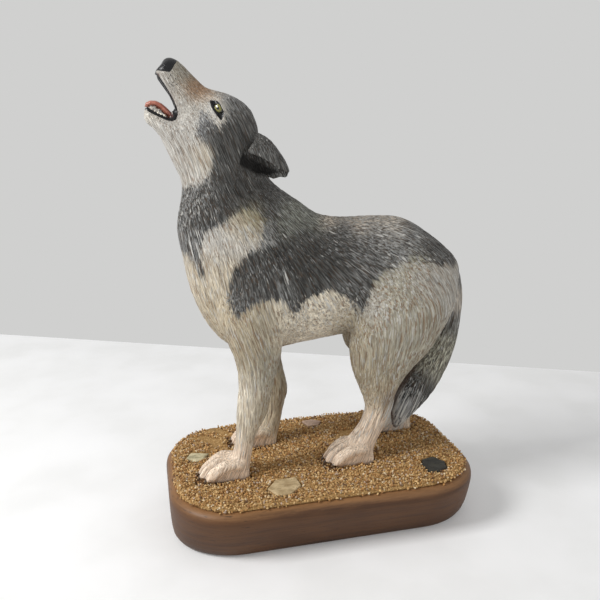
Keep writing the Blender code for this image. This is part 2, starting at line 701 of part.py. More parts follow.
def make_sand_bed():
    """The bed of grit, heaped up unevenly, and open round every paw and stone."""
    top = SOLE_Z + SAND_THICKNESS
    bm = bmesh.new()
    add_layers(bm, [
        (SOLE_Z, rounded_outline(SAND_RIM_INSET, SAND_RIM_INSET)),
        (top - SAND_EDGE_ROUND, rounded_outline(SAND_RIM_INSET, SAND_RIM_INSET)),
        (top, rounded_outline(*(SAND_RIM_INSET + SAND_EDGE_ROUND,) * 2)),
    ])
    make_lumpy(bm, top)
    bed = make_object("sand_bed", bm)
    openings = bmesh.new()
    outlines = [grown(paw_outline(*paw), PAW_CLEARANCE) for paw in paw_lengths()]
    outlines += [grown(outline, STONE_CLEARANCE) for _, outline in STONES.values()]
    for outline in outlines:
        add_layers(openings, [(SOLE_Z - 0.002, outline), (top + 0.002, outline)])
    cut_away(bed, make_object("bed_openings", openings))
    return bed


def make_stone(name, proud, outline):
    top = SOLE_Z + SAND_THICKNESS + proud
    bm = bmesh.new()
    add_layers(bm, [
        (SOLE_Z, outline),
        (top - STONE_BEVEL, outline),
        (top, grown(outline, -STONE_BEVEL * 1.5)),
    ])
    return make_object(name, bm)


clear_scene()
wolf = make_wolf()
eyes = [eye_ball("eye_left", -1, EYE_RADIUS), eye_ball("eye_right", 1, EYE_RADIUS)]
for side in (-1, 1):
    cut_away(wolf, eye_ball("eye_socket", side, EYE_RADIUS + GAP))
pieces = [wolf, *eyes, make_base(), make_sand_bed()]
pieces += [make_stone(name, proud, outline) for name, (proud, outline) in STONES.items()]
for piece in pieces:
    paint(piece, *COLOURS[piece.name])
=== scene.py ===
import json
import math

import bpy
import numpy as np
from mathutils import Matrix, Vector, noise
from mathutils.bvhtree import BVHTree

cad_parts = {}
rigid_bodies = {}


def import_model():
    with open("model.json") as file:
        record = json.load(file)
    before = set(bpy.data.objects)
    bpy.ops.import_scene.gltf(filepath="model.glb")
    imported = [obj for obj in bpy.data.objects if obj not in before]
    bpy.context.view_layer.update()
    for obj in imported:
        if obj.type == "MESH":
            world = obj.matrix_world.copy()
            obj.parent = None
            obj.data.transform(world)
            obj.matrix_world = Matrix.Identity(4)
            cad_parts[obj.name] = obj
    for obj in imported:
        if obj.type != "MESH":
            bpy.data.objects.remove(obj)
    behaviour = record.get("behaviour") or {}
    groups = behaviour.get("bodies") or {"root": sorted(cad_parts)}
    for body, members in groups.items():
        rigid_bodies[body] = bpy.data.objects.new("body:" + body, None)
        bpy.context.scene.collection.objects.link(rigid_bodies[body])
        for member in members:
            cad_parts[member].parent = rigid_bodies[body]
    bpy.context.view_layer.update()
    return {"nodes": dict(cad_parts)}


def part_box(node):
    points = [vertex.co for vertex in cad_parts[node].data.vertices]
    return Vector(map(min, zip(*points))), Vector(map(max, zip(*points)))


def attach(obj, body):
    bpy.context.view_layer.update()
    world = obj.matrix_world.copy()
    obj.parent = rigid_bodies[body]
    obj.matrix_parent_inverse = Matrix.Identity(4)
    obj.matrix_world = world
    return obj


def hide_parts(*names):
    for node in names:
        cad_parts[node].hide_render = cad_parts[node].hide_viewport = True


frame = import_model()
mm = 0.001
scene = bpy.context.scene


# Small helpers

def deselectAll():
    if bpy.context.object and bpy.context.object.mode != "OBJECT":
        bpy.ops.object.mode_set(mode="OBJECT")
    for obj in bpy.context.view_layer.objects:
        obj.select_set(False)


def pick(obj):
    deselectAll()
    obj.select_set(True)
    bpy.context.view_layer.objects.active = obj
    return obj


def modify(obj, kind, **settings):
    # adds a modifier and applies it at once
    pick(obj)
    added = obj.modifiers.new(kind.lower(), kind)
    for key, value in settings.items():
        setattr(added, key, value)
    bpy.ops.object.modifier_apply(modifier=added.name)


def joined(parts, name):
    deselectAll()
    for part in parts:
        part.select_set(True)
    bpy.context.view_layer.objects.active = parts[0]
    if len(parts) > 1:
        bpy.ops.object.join()
    parts[0].name = name
    return parts[0]


def settle(obj):
    # place, turn and scale go into the mesh, and faces point out
    pick(obj)
    bpy.ops.object.transform_apply(location=True, rotation=True, scale=True)
    bpy.ops.object.mode_set(mode="EDIT")
    bpy.ops.mesh.select_all(action="SELECT")
    bpy.ops.mesh.normals_make_consistent(inside=False)
    bpy.ops.object.mode_set(mode="OBJECT")
    return obj


def ready(obj, material, replaced=(), smooth=True):
    obj.data.materials.clear()
    obj.data.materials.append(material)
    pick(obj)
    if smooth:
        bpy.ops.object.shade_smooth()
    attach(obj, "root")
    for node in replaced:
        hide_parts(node)
    print("made", obj.name, len(obj.data.polygons), "faces")
    return obj


def copyOfNode(node, name):
    # a free copy of a CAD node, with its loose triangles merged
    piece = bpy.data.objects.new(name, frame["nodes"][node].data.copy())
    scene.collection.objects.link(piece)
    pick(piece)
    bpy.ops.object.mode_set(mode="EDIT")
    bpy.ops.mesh.select_all(action="SELECT")
    bpy.ops.mesh.remove_doubles(threshold=0.004 * mm)
    bpy.ops.object.mode_set(mode="OBJECT")
    return piece


def pointsOf(obj):
    flat = np.empty(len(obj.data.vertices) * 3, np.float32)
    obj.data.vertices.foreach_get("co", flat)
    return flat.reshape(-1, 3).astype(float) / mm


def normalsOf(obj):
    flat = np.empty(len(obj.data.vertices) * 3, np.float32)
    obj.data.vertex_normals.foreach_get("vector", flat)
    return flat.reshape(-1, 3).astype(float)


def movePoints(obj, points):
    obj.data.vertices.foreach_set("co", (points * mm).astype(np.float32).ravel())
    obj.data.update()


def keep(obj, name, kind, values):
    # stores one value, vector or colour for each point
    layer = obj.data.attributes.new(name, kind, "POINT")
    values = np.asarray(values, np.float32)
    if kind == "FLOAT":
        layer.data.foreach_set("value", values)
    elif kind == "FLOAT_VECTOR":
        layer.data.foreach_set("vector", values.ravel())
    else:
        layer.data.foreach_set("color", np.hstack([values, np.ones((len(values), 1), np.float32)]).ravel())


def step(values, low, high):
    # 0 at low, 1 at high, smooth between
    share = np.clip((np.asarray(values, float) - low) / (high - low), 0, 1)
    return share * share * (3 - 2 * share)


def linear(colour):
    shares = np.asarray(colour, float) / 255
    return np.where(shares <= 0.04045, shares / 12.92, ((shares + 0.055) / 1.055) ** 2.4)


def rgba(colour):
    return (*linear(colour), 1.0)


# Shader helpers

class Wire:
    # one output of a node: arithmetic on it adds Math nodes beside it
    def __init__(self, tree, out=None):
        self.tree, self.out = tree, out

    def node(self, kind, settings=None, inputs=None, output=0):
        made = self.tree.nodes.new(kind)
        for key, value in (settings or {}).items():
            if key == "stops":
                for spare in list(made.color_ramp.elements)[1:]:
                    made.color_ramp.elements.remove(spare)
                made.color_ramp.elements[0].position, made.color_ramp.elements[0].color = value[0]
                for place, colour in value[1:]:
                    made.color_ramp.elements.new(place).color = colour
            else:
                setattr(made, key, value)
        for key, value in (inputs or {}).items():
            if isinstance(value, Wire):
                self.tree.links.new(value.out, made.inputs[key])
            else:
                made.inputs[key].default_value = value
        return Wire(self.tree, made.outputs[output])

    def also(self, output):
        return Wire(self.tree, self.out.node.outputs[output])

    def maths(self, operation, first, second):
        return self.node("ShaderNodeMath", {"operation": operation}, {0: first, 1: second})

    def __add__(self, other):
        return self.maths("ADD", self, other)

    def __sub__(self, other):
        return self.maths("SUBTRACT", self, other)

    def __rsub__(self, other):
        return self.maths("SUBTRACT", other, self)

    def __mul__(self, other):
        return self.maths("MULTIPLY", self, other)

    __radd__, __rmul__ = __add__, __mul__

    def ramp(self, low, high):
        # 0 at low, 1 at high, smooth between, and low may be the greater
        return self.node("ShaderNodeMapRange", {"interpolation_type": "SMOOTHSTEP"},
                         {"Value": self, "From Min": low, "From Max": high})

    def scaled(self, x, y, z, shift=0.0):
        return self.node("ShaderNodeVectorMath", {"operation": "MULTIPLY_ADD"},
                         {0: self, 1: (x, y, z), 2: (shift, shift * 0.7, shift * 1.3)})

    def mixed(self, first, second, mode="MIX"):
        # this wire is the factor between two colours, each a wire or sRGB values
        first, second = (end if isinstance(end, Wire) else rgba(end) for end in (first, second))
        return self.node("ShaderNodeMix", {"data_type": "RGBA", "blend_type": mode},
                         {0: self, 6: first, 7: second}, 2)

    def noise(self, scale, detail=2.0, roughness=0.5):
        return self.node("ShaderNodeTexNoise", None,
                         {"Vector": self, "Scale": scale, "Detail": detail, "Roughness": roughness})

    def cells(self, scale=1.0):
        return self.node("ShaderNodeTexVoronoi", None, {"Vector": self, "Scale": scale})


def newMaterial(name, roughness, specular=0.5, coat=0.0, coatRoughness=0.1):
    material = bpy.data.materials.new(name)
    material.use_nodes = True
    shader = material.node_tree.nodes["Principled BSDF"]
    shader.inputs["Roughness"].default_value = roughness
    shader.inputs["Specular IOR Level"].default_value = specular
    shader.inputs["Coat Weight"].default_value = coat
    shader.inputs["Coat Roughness"].default_value = coatRoughness
    return material, shader, Wire(material.node_tree)


def plug(shader, socket, wire):
    wire.tree.links.new(wire.out, shader.inputs[socket])


def bumped(shader, height, distance, strength=1.0):
    plug(shader, "Normal", height.node("ShaderNodeBump", None,
         {"Height": height, "Distance": distance * mm, "Strength": strength}))


def objectPoint(wire):
    # object coordinates in millimetres
    where = wire.node("ShaderNodeTexCoord", output="Object")
    return where.scaled(1 / mm, 1 / mm, 1 / mm)


# Camera: turned, tilted and rolled to the photograph's view, in degrees and millimetres
view = {
    "azimuth": -13.63, "elevation": 13.98, "roll": -0.37, "distance": 290.5,
    "target": (-7.56, 0.0, 100.4), "lens": 39.04, "sensor": 36.0,
}


def placeCamera():
    side, rise, roll = (math.radians(view[key]) for key in ("azimuth", "elevation", "roll"))
    back = Vector((math.sin(side) * math.cos(rise), -math.cos(side) * math.cos(rise), math.sin(rise)))
    right = Vector((math.cos(side), math.sin(side), 0))
    up = back.cross(right)
    turned = Matrix((right * math.cos(roll) + up * math.sin(roll),
                     up * math.cos(roll) - right * math.sin(roll), back)).transposed().to_4x4()
    turned.translation = (Vector(view["target"]) + back * view["distance"]) * mm
    bpy.ops.object.camera_add()
    camera = bpy.context.object
    camera.name = "photo_camera"
    camera.matrix_world = turned
    camera.data.lens, camera.data.sensor_width = view["lens"], view["sensor"]
    camera.data.clip_start = 0.01
    scene.camera = camera


# Lamps, floor and the pale wall colour behind it
studio = {
    "keyPlace": (-600, -110, 560), "keySize": 260, "keyPower": 4.4,
    "fillPlace": (420, -620, 320), "fillSize": 600, "fillPower": 0.8,
    "aim": (0, 0, 90), "worldLight": 0.42,
    "wallColour": (208, 208, 207), "floorColour": (236, 236, 235), "floorPale": (246, 246, 246),
    "floorLift": (96, 96, 96), "floorReach": 3000,
    # how far back the floor runs at its left and at its right end
    "floorBackLeft": 1693, "floorBackRight": -1215,
}


def addLamp(name, place, size, power):
    bpy.ops.object.light_add(type="AREA", location=Vector(place) * mm)
    lamp = bpy.context.object
    lamp.name = name
    lamp.data.size, lamp.data.energy = size * mm, power
    lamp.rotation_euler = (Vector(studio["aim"]) - Vector(place)).to_track_quat("-Z", "Y").to_euler()


def makeStudio():
    addLamp("key_lamp", studio["keyPlace"], studio["keySize"], studio["keyPower"])
    addLamp("fill_lamp", studio["fillPlace"], studio["fillSize"], studio["fillPower"])
    world = bpy.data.worlds.new("studio_world")
    scene.world = world
    world.use_nodes = True
    background = world.node_tree.nodes["Background"]
    rays = Wire(world.node_tree).node("ShaderNodeLightPath", output="Is Camera Ray")
    seen = rays.maths("MAXIMUM", rays, rays.also("Is Glossy Ray"))
    seen = seen.maths("MAXIMUM", seen, rays.also("Is Transmission Ray"))
    colour = seen.mixed((255, 255, 255), studio["wallColour"])
    plug(background, "Color", colour)
    plug(background, "Strength", seen * (1.0 - studio["worldLight"]) + studio["worldLight"])
    # the floor ends where the photograph's wall begins
    bpy.ops.mesh.primitive_plane_add(size=1)
    floor = bpy.context.object
    floor.name = "table_top"
    reach = studio["floorReach"]
    corners = [(-reach, -reach, 0), (reach, -reach, 0),
               (-reach, studio["floorBackLeft"], 0), (reach, studio["floorBackRight"], 0)]
    for vertex, corner in zip(floor.data.vertices, corners):
        vertex.co = Vector(corner) * mm
    material, shader, wire = newMaterial("table_paint", 0.7)
    grain = objectPoint(wire).noise(0.02, 3.0)
    colour = grain.ramp(0.3, 0.7).mixed(studio["floorColour"], studio["floorPale"])
    plug(shader, "Base Color", colour)
    seen = wire.node("ShaderNodeLightPath", output="Is Camera Ray")
    plug(shader, "Emission Color", seen.mixed((0, 0, 0), studio["floorLift"]))
    shader.inputs["Emission Strength"].default_value = 1.0
    floor.data.materials.append(material)


placeCamera()
makeStudio()
scene.view_settings.view_transform = "Standard"
print("camera, lamps and floor are set")


# The base block, a rounded slab whose long sides lean in towards the foot
block = {
    "cornerRadius": 29.0, "cornerSteps": 24, "capInset": 4.0, "unevenness": 0.16, "waveScale": 0.03,
    # share of the height, and how far the ends and the long sides draw in there
    "profile": [(0.000, 4.4, 9.6), (0.014, 3.4, 8.7), (0.045, 2.0, 7.4), (0.12, 1.1, 6.4), (0.25, 0.6, 4.8),
                (0.38, 0.35, 3.5), (0.50, 0.2, 2.4), (0.62, 0.1, 1.4), (0.72, 0.0, 0.7), (0.80, 0.0, 0.15),
                (0.86, 0.1, 0.1), (0.91, 0.35, 0.35), (0.95, 0.9, 0.9), (0.98, 1.7, 1.7), (1.00, 2.9, 2.9)],
    # rim is the lighter brown of a painted highlight along the top edge
    "side": (98, 66, 41), "sideDark": (78, 51, 32), "rim": (150, 110, 72), "darkBrown": (54, 40, 30),
}


def paintedWood():
    material, shader, wire = newMaterial("brown_paint", 0.45, 0.3)
    where = objectPoint(wire)
    streaks = where.scaled(0.035, 0.035, 0.55).noise(1.0, 4.0, 0.6)
    cloud = where.scaled(0.03, 0.03, 0.05, 4.0).noise(1.0, 3.0)
    fine = where.scaled(0.25, 0.25, 2.2, 9.0).noise(1.0, 3.0, 0.7)
    grain = (streaks * 0.6 + cloud * 0.4).ramp(0.36, 0.62)
    colour = grain.mixed(block["sideDark"], block["side"])
    height = where.node("ShaderNodeSeparateXYZ", None, {0: where}, "Z")
    # darker towards the foot, in the same dark brown as the worn spots and marks
    low = (height + cloud * 9.0).ramp(11.0, 3.5) * 0.45
    colour = low.mixed(colour, block["darkBrown"])
    # a lighter brown along the top edge: a painted highlight where the rim catches the light
    rim = (height + streaks * 3.0 - fine * 2.0).ramp(20.8, 24.4)
    colour = (rim * 0.85).mixed(colour, block["rim"])
    spots = where.scaled(0.16, 0.16, 0.3, 2.0).cells()
    worn = spots.ramp(0.22, 0.05) * fine.ramp(0.5, 0.65) * 0.6
    colour = worn.mixed(colour, block["darkBrown"])
    marks = where.scaled(0.16, 0.16, 1.3, 21.0).noise(1.0, 2.0, 0.6).ramp(0.62, 0.70)
    colour = (marks * cloud.ramp(0.42, 0.6) * 0.7).mixed(colour, block["darkBrown"])
    plug(shader, "Base Color", colour)
    plug(shader, "Roughness", 0.34 + streaks * 0.22 + worn * 0.2)
    bumped(shader, streaks * 0.6 + fine * 0.4, 0.35, 0.5)
    return material


def makeBlock():
    low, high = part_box("base_block")
    length, width, height = (high - low) / mm
    deselectAll()
    bpy.ops.mesh.primitive_plane_add(size=1)
    slab = bpy.context.object
    slab.name = "base_painted"
    bpy.ops.object.mode_set(mode="EDIT")
    bpy.ops.mesh.select_all(action="SELECT")
    bpy.ops.transform.resize(value=(length * mm, width * mm, 1), center_override=(0, 0, 0))
    bpy.ops.mesh.bevel(offset=block["cornerRadius"] * mm, segments=block["cornerSteps"], affect="VERTICES")
    before, level = (1.0, 1.0), 0.0
    for i, (share, ends, sides) in enumerate(block["profile"]):
        now = (1 - 2 * ends / length, 1 - 2 * sides / width)
        if i:
            bpy.ops.mesh.extrude_region_move(
                TRANSFORM_OT_translate={"value": (0, 0, (share - level) * height * mm)})
        scale = (now[0] / before[0], now[1] / before[1], 1)
        bpy.ops.transform.resize(value=scale, center_override=(0, 0, 0))
        before, level = now, share
    bpy.ops.mesh.inset(thickness=block["capInset"] * mm)
    bpy.ops.mesh.select_all(action="SELECT")
    bpy.ops.mesh.normals_make_consistent(inside=False)
    bpy.ops.object.mode_set(mode="OBJECT")
    points = pointsOf(slab)
    normals = normalsOf(slab)
    wave = np.array([noise.noise(Vector(point) * block["waveScale"]) for point in points])
    flat = (points[:, 2] > 0.5) & (points[:, 2] < height - 0.1)
    points -= normals * (np.clip(0.5 + wave, 0, 1) * block["unevenness"] * flat)[:, None]
    movePoints(slab, points)
    ready(slab, paintedWood(), ["base_block"])


makeBlock()


# Glued grit: a rough bed and loose grains on it
grit = {
    "bedVoxel": 0.85, "bedRough": 0.45, "bedColour": (160, 124, 76), "bedLight": (204, 170, 118),
    "lumpScale": 0.9, "swellScale": 0.25, "lumpTop": 0.5, "bedSink": 0.55,
    "pitch": 1.13, "jitter": 0.5, "smallest": 0.36, "largest": 0.66, "smallBias": 1.6,
    "lift": 0.15, "heap": 0.35, "level": 1.9,
    "rimInset": 2.5, "rimFall": 1.5, "clearance": 0.25, "stretch": (1.15, 0.95, 0.72), "seed": 11,
    "tintSpread": 0.12, "shade": (150, 112, 66),
    # share of the grains, and their colour
    "grains": [(0.30, (214, 176, 116)), (0.22, (228, 194, 138)), (0.08, (236, 218, 182)),
               (0.17, (196, 148, 88)), (0.12, (166, 122, 72)), (0.05, (116, 86, 58)),
               (0.06, (204, 184, 164))],
}


def insetOf(x, y, low, high):
    # how far a point lies inside the block's outline from above
    radius = block["cornerRadius"]
    centre, half = (low + high) / 2, (high - low) / 2
    outX = np.maximum(np.abs(x - centre[0]) - (half[0] - radius), 0)
    outY = np.maximum(np.abs(y - centre[1]) - (half[1] - radius), 0)
    straight = np.minimum(half[0] - np.abs(x - centre[0]), half[1] - np.abs(y - centre[1]))
    corner = radius - np.hypot(outX, outY)
    return np.where((outX > 0) & (outY > 0), corner, straight)


def solidTree(*nodes):
    points, faces = [], []
    for node in nodes:
        mesh = frame["nodes"][node].data
        start = len(points)
        points += [vertex.co / mm for vertex in mesh.vertices]
        faces += [[start + i for i in face.vertices] for face in mesh.polygons]
    return BVHTree.FromPolygons(points, faces)


def gritBed():
    bed = copyOfNode("sand_bed", "sand_rough")
    modify(bed, "REMESH", mode="VOXEL", voxel_size=grit["bedVoxel"] * mm)
    middle = sum(corner.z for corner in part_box("sand_bed")) / 2 / mm
    points = pointsOf(bed)
    for point in points:
        # the rough top stays just under the solid's, so that the grains stand out of it
        if point[2] > middle:
            lump = noise.noise(Vector(point) * grit["lumpScale"])
            lump += 0.6 * noise.noise(Vector(point) * grit["swellScale"])
            point[2] += grit["bedRough"] * (min(lump, grit["lumpTop"]) - grit["bedSink"])
    movePoints(bed, points)
    material, shader, wire = newMaterial("grit_bed", 0.92, 0.3)
    where = objectPoint(wire)
    speck = where.cells(1.4)
    colour = speck.ramp(0.1, 0.6).mixed(grit["bedLight"], grit["bedColour"])
    plug(shader, "Base Color", colour)
    bumped(shader, where.noise(1.1, 3.0, 0.7), 0.4)
    ready(bed, material, ["sand_bed"])


def gritGrains():
    low, high = (np.array(corner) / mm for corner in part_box("base_block"))
    bedTree = solidTree("sand_bed")
    rng = np.random.default_rng(grit["seed"])
    xs, ys = np.meshgrid(*(np.arange(low[axis], high[axis], grit["pitch"]) for axis in (0, 1)))
    xs = (xs + rng.uniform(-1, 1, xs.shape) * grit["jitter"]).ravel()
    ys = (ys + rng.uniform(-1, 1, ys.shape) * grit["jitter"]).ravel()
    inset = insetOf(xs, ys, low, high)
    share = rng.random(xs.size) ** grit["smallBias"]
    size = grit["smallest"] + (grit["largest"] - grit["smallest"]) * share
    turn = rng.normal(size=(xs.size, 3, 3))
    tall = rng.random(xs.size)
    kind = rng.choice(len(grit["grains"]), xs.size, p=[share for share, _ in grit["grains"]])
    tint = 1 + rng.normal(size=xs.size) * grit["tintSpread"]
    wolfAndStones = solidTree("wolf", "stone_front", "stone_left", "stone_right", "stone_rear")
    fall = np.clip((inset - grit["rimInset"]) / grit["rimFall"], 0, 1) ** 0.5
    surface = [bedTree.ray_cast(Vector((x, y, 40)), Vector((0, 0, -1)))[0] for x, y in zip(xs, ys)]
    surface = np.array([place.z if place else high[2] + grit["level"] for place in surface])
    heights = high[2] + grit["lift"] + (surface - high[2] + 0.05) * fall
    heights += (tall - 0.5) * 2 * grit["heap"] * fall
    kept = []
    for i in np.flatnonzero(inset > grit["rimInset"]):
        point = Vector((xs[i], ys[i], heights[i]))
        near, normal, _, distance = wolfAndStones.find_nearest(point)
        outside = (point - near).dot(normal) > 0
        if outside and distance > size[i] * 0.5 + grit["clearance"]:
            kept.append(i)
    bpy.ops.mesh.primitive_ico_sphere_add(subdivisions=1, radius=1)
    seedGrain = bpy.context.object
    ball = np.array([vertex.co for vertex in seedGrain.data.vertices])
    ballFaces = np.array([list(face.vertices) for face in seedGrain.data.polygons])
    bpy.data.objects.remove(seedGrain)
    points, faces, colours = [], [], []
    for count, i in enumerate(kept):
        turned, _ = np.linalg.qr(turn[i])
        grain = (ball * (np.array(grit["stretch"]) * size[i])) @ turned.T
        grain += np.array([xs[i], ys[i], heights[i]])
        points.append(grain)
        faces.append((ballFaces if np.linalg.det(turned) > 0 else ballFaces[:, ::-1]) + count * len(ball))
        paint = linear(grit["grains"][kind[i]][1]) * tint[i]
        colours.append(np.repeat([paint], len(ball), 0))
    mesh = bpy.data.meshes.new("sand_grains")
    mesh.from_pydata(np.vstack(points) * mm, [], np.vstack(faces).tolist())
    grains = bpy.data.objects.new("sand_grains", mesh)
    scene.collection.objects.link(grains)
    keep(grains, "grainColour", "FLOAT_COLOR", np.clip(np.vstack(colours), 0, 1))
    material, shader, wire = newMaterial("grit_grains", 0.55, 0.5)
    tinted = wire.node("ShaderNodeAttribute", {"attribute_name": "grainColour"}, None, "Color")
    where = objectPoint(wire)
    shade = where.noise(1.7, 2.0).ramp(0.3, 0.75) * 0.5
    plug(shader, "Base Color", shade.mixed(tinted, grit["shade"], "MULTIPLY"))
    bumped(shader, where.noise(3.0, 2.0), 0.1)
    ready(grains, material, smooth=False)


gritBed()
gritGrains()


# Flat stones glued among the grit
stones = {
    "voxel": 0.32, "chipScale": 0.35, "dentScale": 0.16, "chipDepth": 0.7, "softening": 3,
    # slot, then the pale, the deep and the fleck colour
    "looks": {
        "stone_front": ("beige_stone", (206, 184, 144), (162, 138, 100), (104, 86, 60)),
        "stone_left": ("green_stone", (218, 206, 170), (162, 153, 121), (80, 74, 58)),
        "stone_right": ("dark_stone", (62, 60, 52), (40, 39, 34), (40, 40, 38)),
        "stone_rear": ("pink_stone", (190, 164, 144), (146, 118, 100), (100, 78, 64)),
    },
}


def roughStone(node, slot, pale, deep, fleck):
    stone = copyOfNode(node, node + "_rough")
    modify(stone, "REMESH", mode="VOXEL", voxel_size=stones["voxel"] * mm)
    points, normals = pointsOf(stone), normalsOf(stone)
    for i, point in enumerate(points):
        place = Vector(point)
        chipped = noise.noise(place * stones["chipScale"]) * 0.35
        chipped += abs(noise.noise(place * stones["dentScale"])) * 0.5
        point -= normals[i] * max(0.0, chipped + 0.08) * stones["chipDepth"]
    movePoints(stone, points)
    modify(stone, "SMOOTH", factor=0.5, iterations=stones["softening"])
    material, shader, wire = newMaterial(node + "_finish", 0.7, 0.4)
    where = objectPoint(wire)
    cloud, layers = where.noise(0.22, 4.0, 0.6), where.scaled(0.1, 0.5, 0.9).noise(1.0, 4.0, 0.7)
    colour = (cloud * 0.5 + layers * 0.5).ramp(0.38, 0.62).mixed(deep, pale)
    colour = (where.cells(0.9).ramp(0.25, 0.1) * 0.7).mixed(colour, fleck)
    plug(shader, "Base Color", colour)
    plug(shader, "Roughness", 0.55 + layers * 0.3)
    bumped(shader, layers * 0.6 + where.noise(1.6, 3.0) * 0.4, 0.35)
    ready(stone, material, [node])


for stoneNode, stoneLook in stones["looks"].items():
    roughStone(stoneNode, *stoneLook)
print("base, grit and stones are made")


# The wolf. Places are x and z in the side view, from the camera's side, in millimetres.
wolfSize = {
    "voxel": 0.44, "faces": 196000, "midY": 2.0, "smoothing": 7,
    "lockDepth": 0.20, "lockLength": 8.0, "lockWidth": 1.7, "lockGroove": 0.4,
    "tuftDepth": 0.30, "tuftLength": 20, "tuftWidth": 6,
    # middle of an eyeball: x, out from the middle, z
    "eye": (-41.2, 9.3, 182.1), "lidRadius": 3.0,
}
midY = wolfSize["midY"]

# Lie of the hair: place, then the way it points
hairLie = [
    (-57, 194, 0.55, -0.83), (-52, 190, 0.60, -0.80), (-47, 188, 0.70, -0.71), (-60, 186, 0.35, -0.94),
    (-55, 180, 0.30, -0.95), (-66, 178, 0.45, -0.89), (-60, 172, 0.30, -0.95), (-52, 170, 0.22, -0.98),
    (-46, 178, 0.45, -0.89), (-40, 190, 0.80, -0.60), (-33, 185, 0.72, -0.69), (-27, 178, 0.50, -0.87),
    (-38, 175, 0.45, -0.89), (-30, 170, 0.40, -0.92), (-42, 162, 0.30, -0.95), (-54, 158, 0.15, -0.99),
    (-22, 168, 0.35, -0.94), (-17, 161, 0.50, -0.87), (-34, 158, 0.42, -0.91), (-57, 145, -0.03, -1.0),
    (-57, 130, 0.05, -1.0), (-48, 145, 0.25, -0.97), (-46, 132, 0.22, -0.97), (-35, 150, 0.40, -0.90),
    (-30, 145, 0.55, -0.83), (-22, 153, 0.62, -0.78), (-15, 150, 0.75, -0.60), (-8, 144, 0.78, -0.62),
    (0, 140, 0.80, -0.60), (-38, 128, 0.12, -0.99), (-37, 108, -0.08, -1.0), (-28, 110, 0.10, -1.0),
    (-28, 125, 0.30, -0.95), (-20, 115, 0.35, -0.94), (-15, 125, 0.50, -0.87), (-20, 137, 0.60, -0.80),
    (-10, 110, 0.35, -0.94), (-10, 132, 0.75, -0.66), (0, 120, 0.60, -0.80), (5, 110, 0.60, -0.80),
    (10, 125, 0.80, -0.60), (12, 136, 0.97, -0.15), (-48, 112, 0.05, -1.0), (-44, 98, 0.20, -0.98),
    (-38, 90, 0.25, -0.97), (-30, 92, 0.25, -0.97), (-15, 92, 0.30, -0.95), (5, 92, 0.45, -0.89),
    (15, 88, 0.45, -0.89), (20, 134, 0.99, -0.05), (35, 134, 0.97, -0.20), (30, 125, 0.93, -0.36),
    (45, 128, 0.88, -0.47), (55, 121, 0.76, -0.65), (64, 115, 0.62, -0.78), (20, 118, 0.80, -0.60),
    (12, 112, 0.68, -0.73), (25, 106, 0.60, -0.80), (20, 97, 0.38, -0.92), (35, 105, 0.40, -0.92),
    (45, 108, 0.68, -0.73), (55, 104, 0.72, -0.69), (62, 97, 0.50, -0.87), (50, 95, 0.35, -0.94),
    (45, 85, -0.05, -1.0), (35, 93, -0.02, -1.0), (30, 85, -0.22, -0.97), (25, 77, -0.12, -0.99),
    (40, 75, -0.25, -0.97), (50, 80, -0.22, -0.97), (57, 88, -0.15, -0.99), (45, 67, -0.35, -0.94),
    (30, 64, 0.12, -0.99), (27, 50, -0.20, -0.98), (20, 36, -0.40, -0.92), (52, 60, 0.15, -0.99),
    (51, 45, -0.05, -1.0), (48, 34, -0.35, -0.94), (-30, 75, -0.02, -1.0), (-32, 55, -0.12, -0.99),
    (-35, 40, -0.10, -1.0), (-40, 30, -0.45, -0.89), (-20, 70, 0.12, -0.99), (-17, 50, 0.05, -1.0),
    (-20, 33, -0.35, -0.94), (67, 104, 0.10, -1.0), (67, 92, -0.10, -1.0), (64, 78, -0.40, -0.92),
    (58, 67, -0.60, -0.80), (51, 57, -0.65, -0.76), (44, 49, -0.63, -0.78), (39, 41, -0.50, -0.87),
]

# The dark coat, as one outline: crown, cheek, collar, shoulder, flank, rump, back and nape
darkOutline = [
    (-44, 194), (-43.2, 188.5), (-41.8, 186.4), (-38.9, 183.8), (-38.9, 179.9), (-40.3, 176.8),
    (-41.8, 174.6), (-43.5, 176.1), (-45.3, 178), (-46.6, 180.6), (-48.3, 181), (-49.4, 178.4),
    (-50.5, 175.4), (-51.3, 171.6), (-50.3, 170.1), (-47.3, 169.7), (-45.8, 167.8), (-45.4, 164.3),
    (-45.8, 160.9), (-46.7, 157.4), (-47.8, 154.7), (-50.5, 152.9), (-53.9, 152), (-57, 151), (-72, 152.5),
    (-72, 122), (-56.5, 124), (-54.2, 120.2), (-52.6, 116), (-50.9, 114.2), (-51.2, 120), (-51.4, 125.6),
    (-50.8, 130.5), (-48.2, 134.4), (-42.9, 136.8), (-38.2, 140.2), (-33.4, 142.4), (-28.4, 141.4),
    (-25, 138.2), (-26.8, 133.4), (-27.6, 128.6), (-32.2, 125.9), (-36.3, 122), (-40.2, 116.6),
    (-41.4, 111.1), (-41.6, 106.2), (-40.3, 102.3), (-38.3, 98.8), (-35.6, 101.1), (-31.9, 103.2),
    (-28.1, 105), (-23.8, 105.9), (-19.1, 104.4), (-14.2, 98), (-11, 101.6), (-8.3, 104.6), (-4.8, 106),
    (-0.7, 107.6), (3.6, 107.4), (7.6, 104.4), (12.1, 101.2), (16.8, 95), (19, 100.3), (20.7, 105.6),
    (23.2, 110.8), (26.4, 114.1), (31.3, 115.7), (35.5, 117.6), (43, 117.4), (48.5, 117), (53.5, 115),
    (58.5, 115.4), (61.6, 113.5), (64, 115), (80, 118), (85, 160), (-5, 185), (-20, 205),
]
tailLine = [
    (67.5, 110, 5.0), (67.0, 99, 5.6), (66.7, 90, 6.0), (65.1, 81, 6.6), (61.6, 72, 7.4), (56.1, 63.8, 8.5),
    (50.2, 56.5, 8.9), (44.6, 50.3, 8.2), (40.6, 44.7, 6.4), (38, 39.8, 4.0),
]

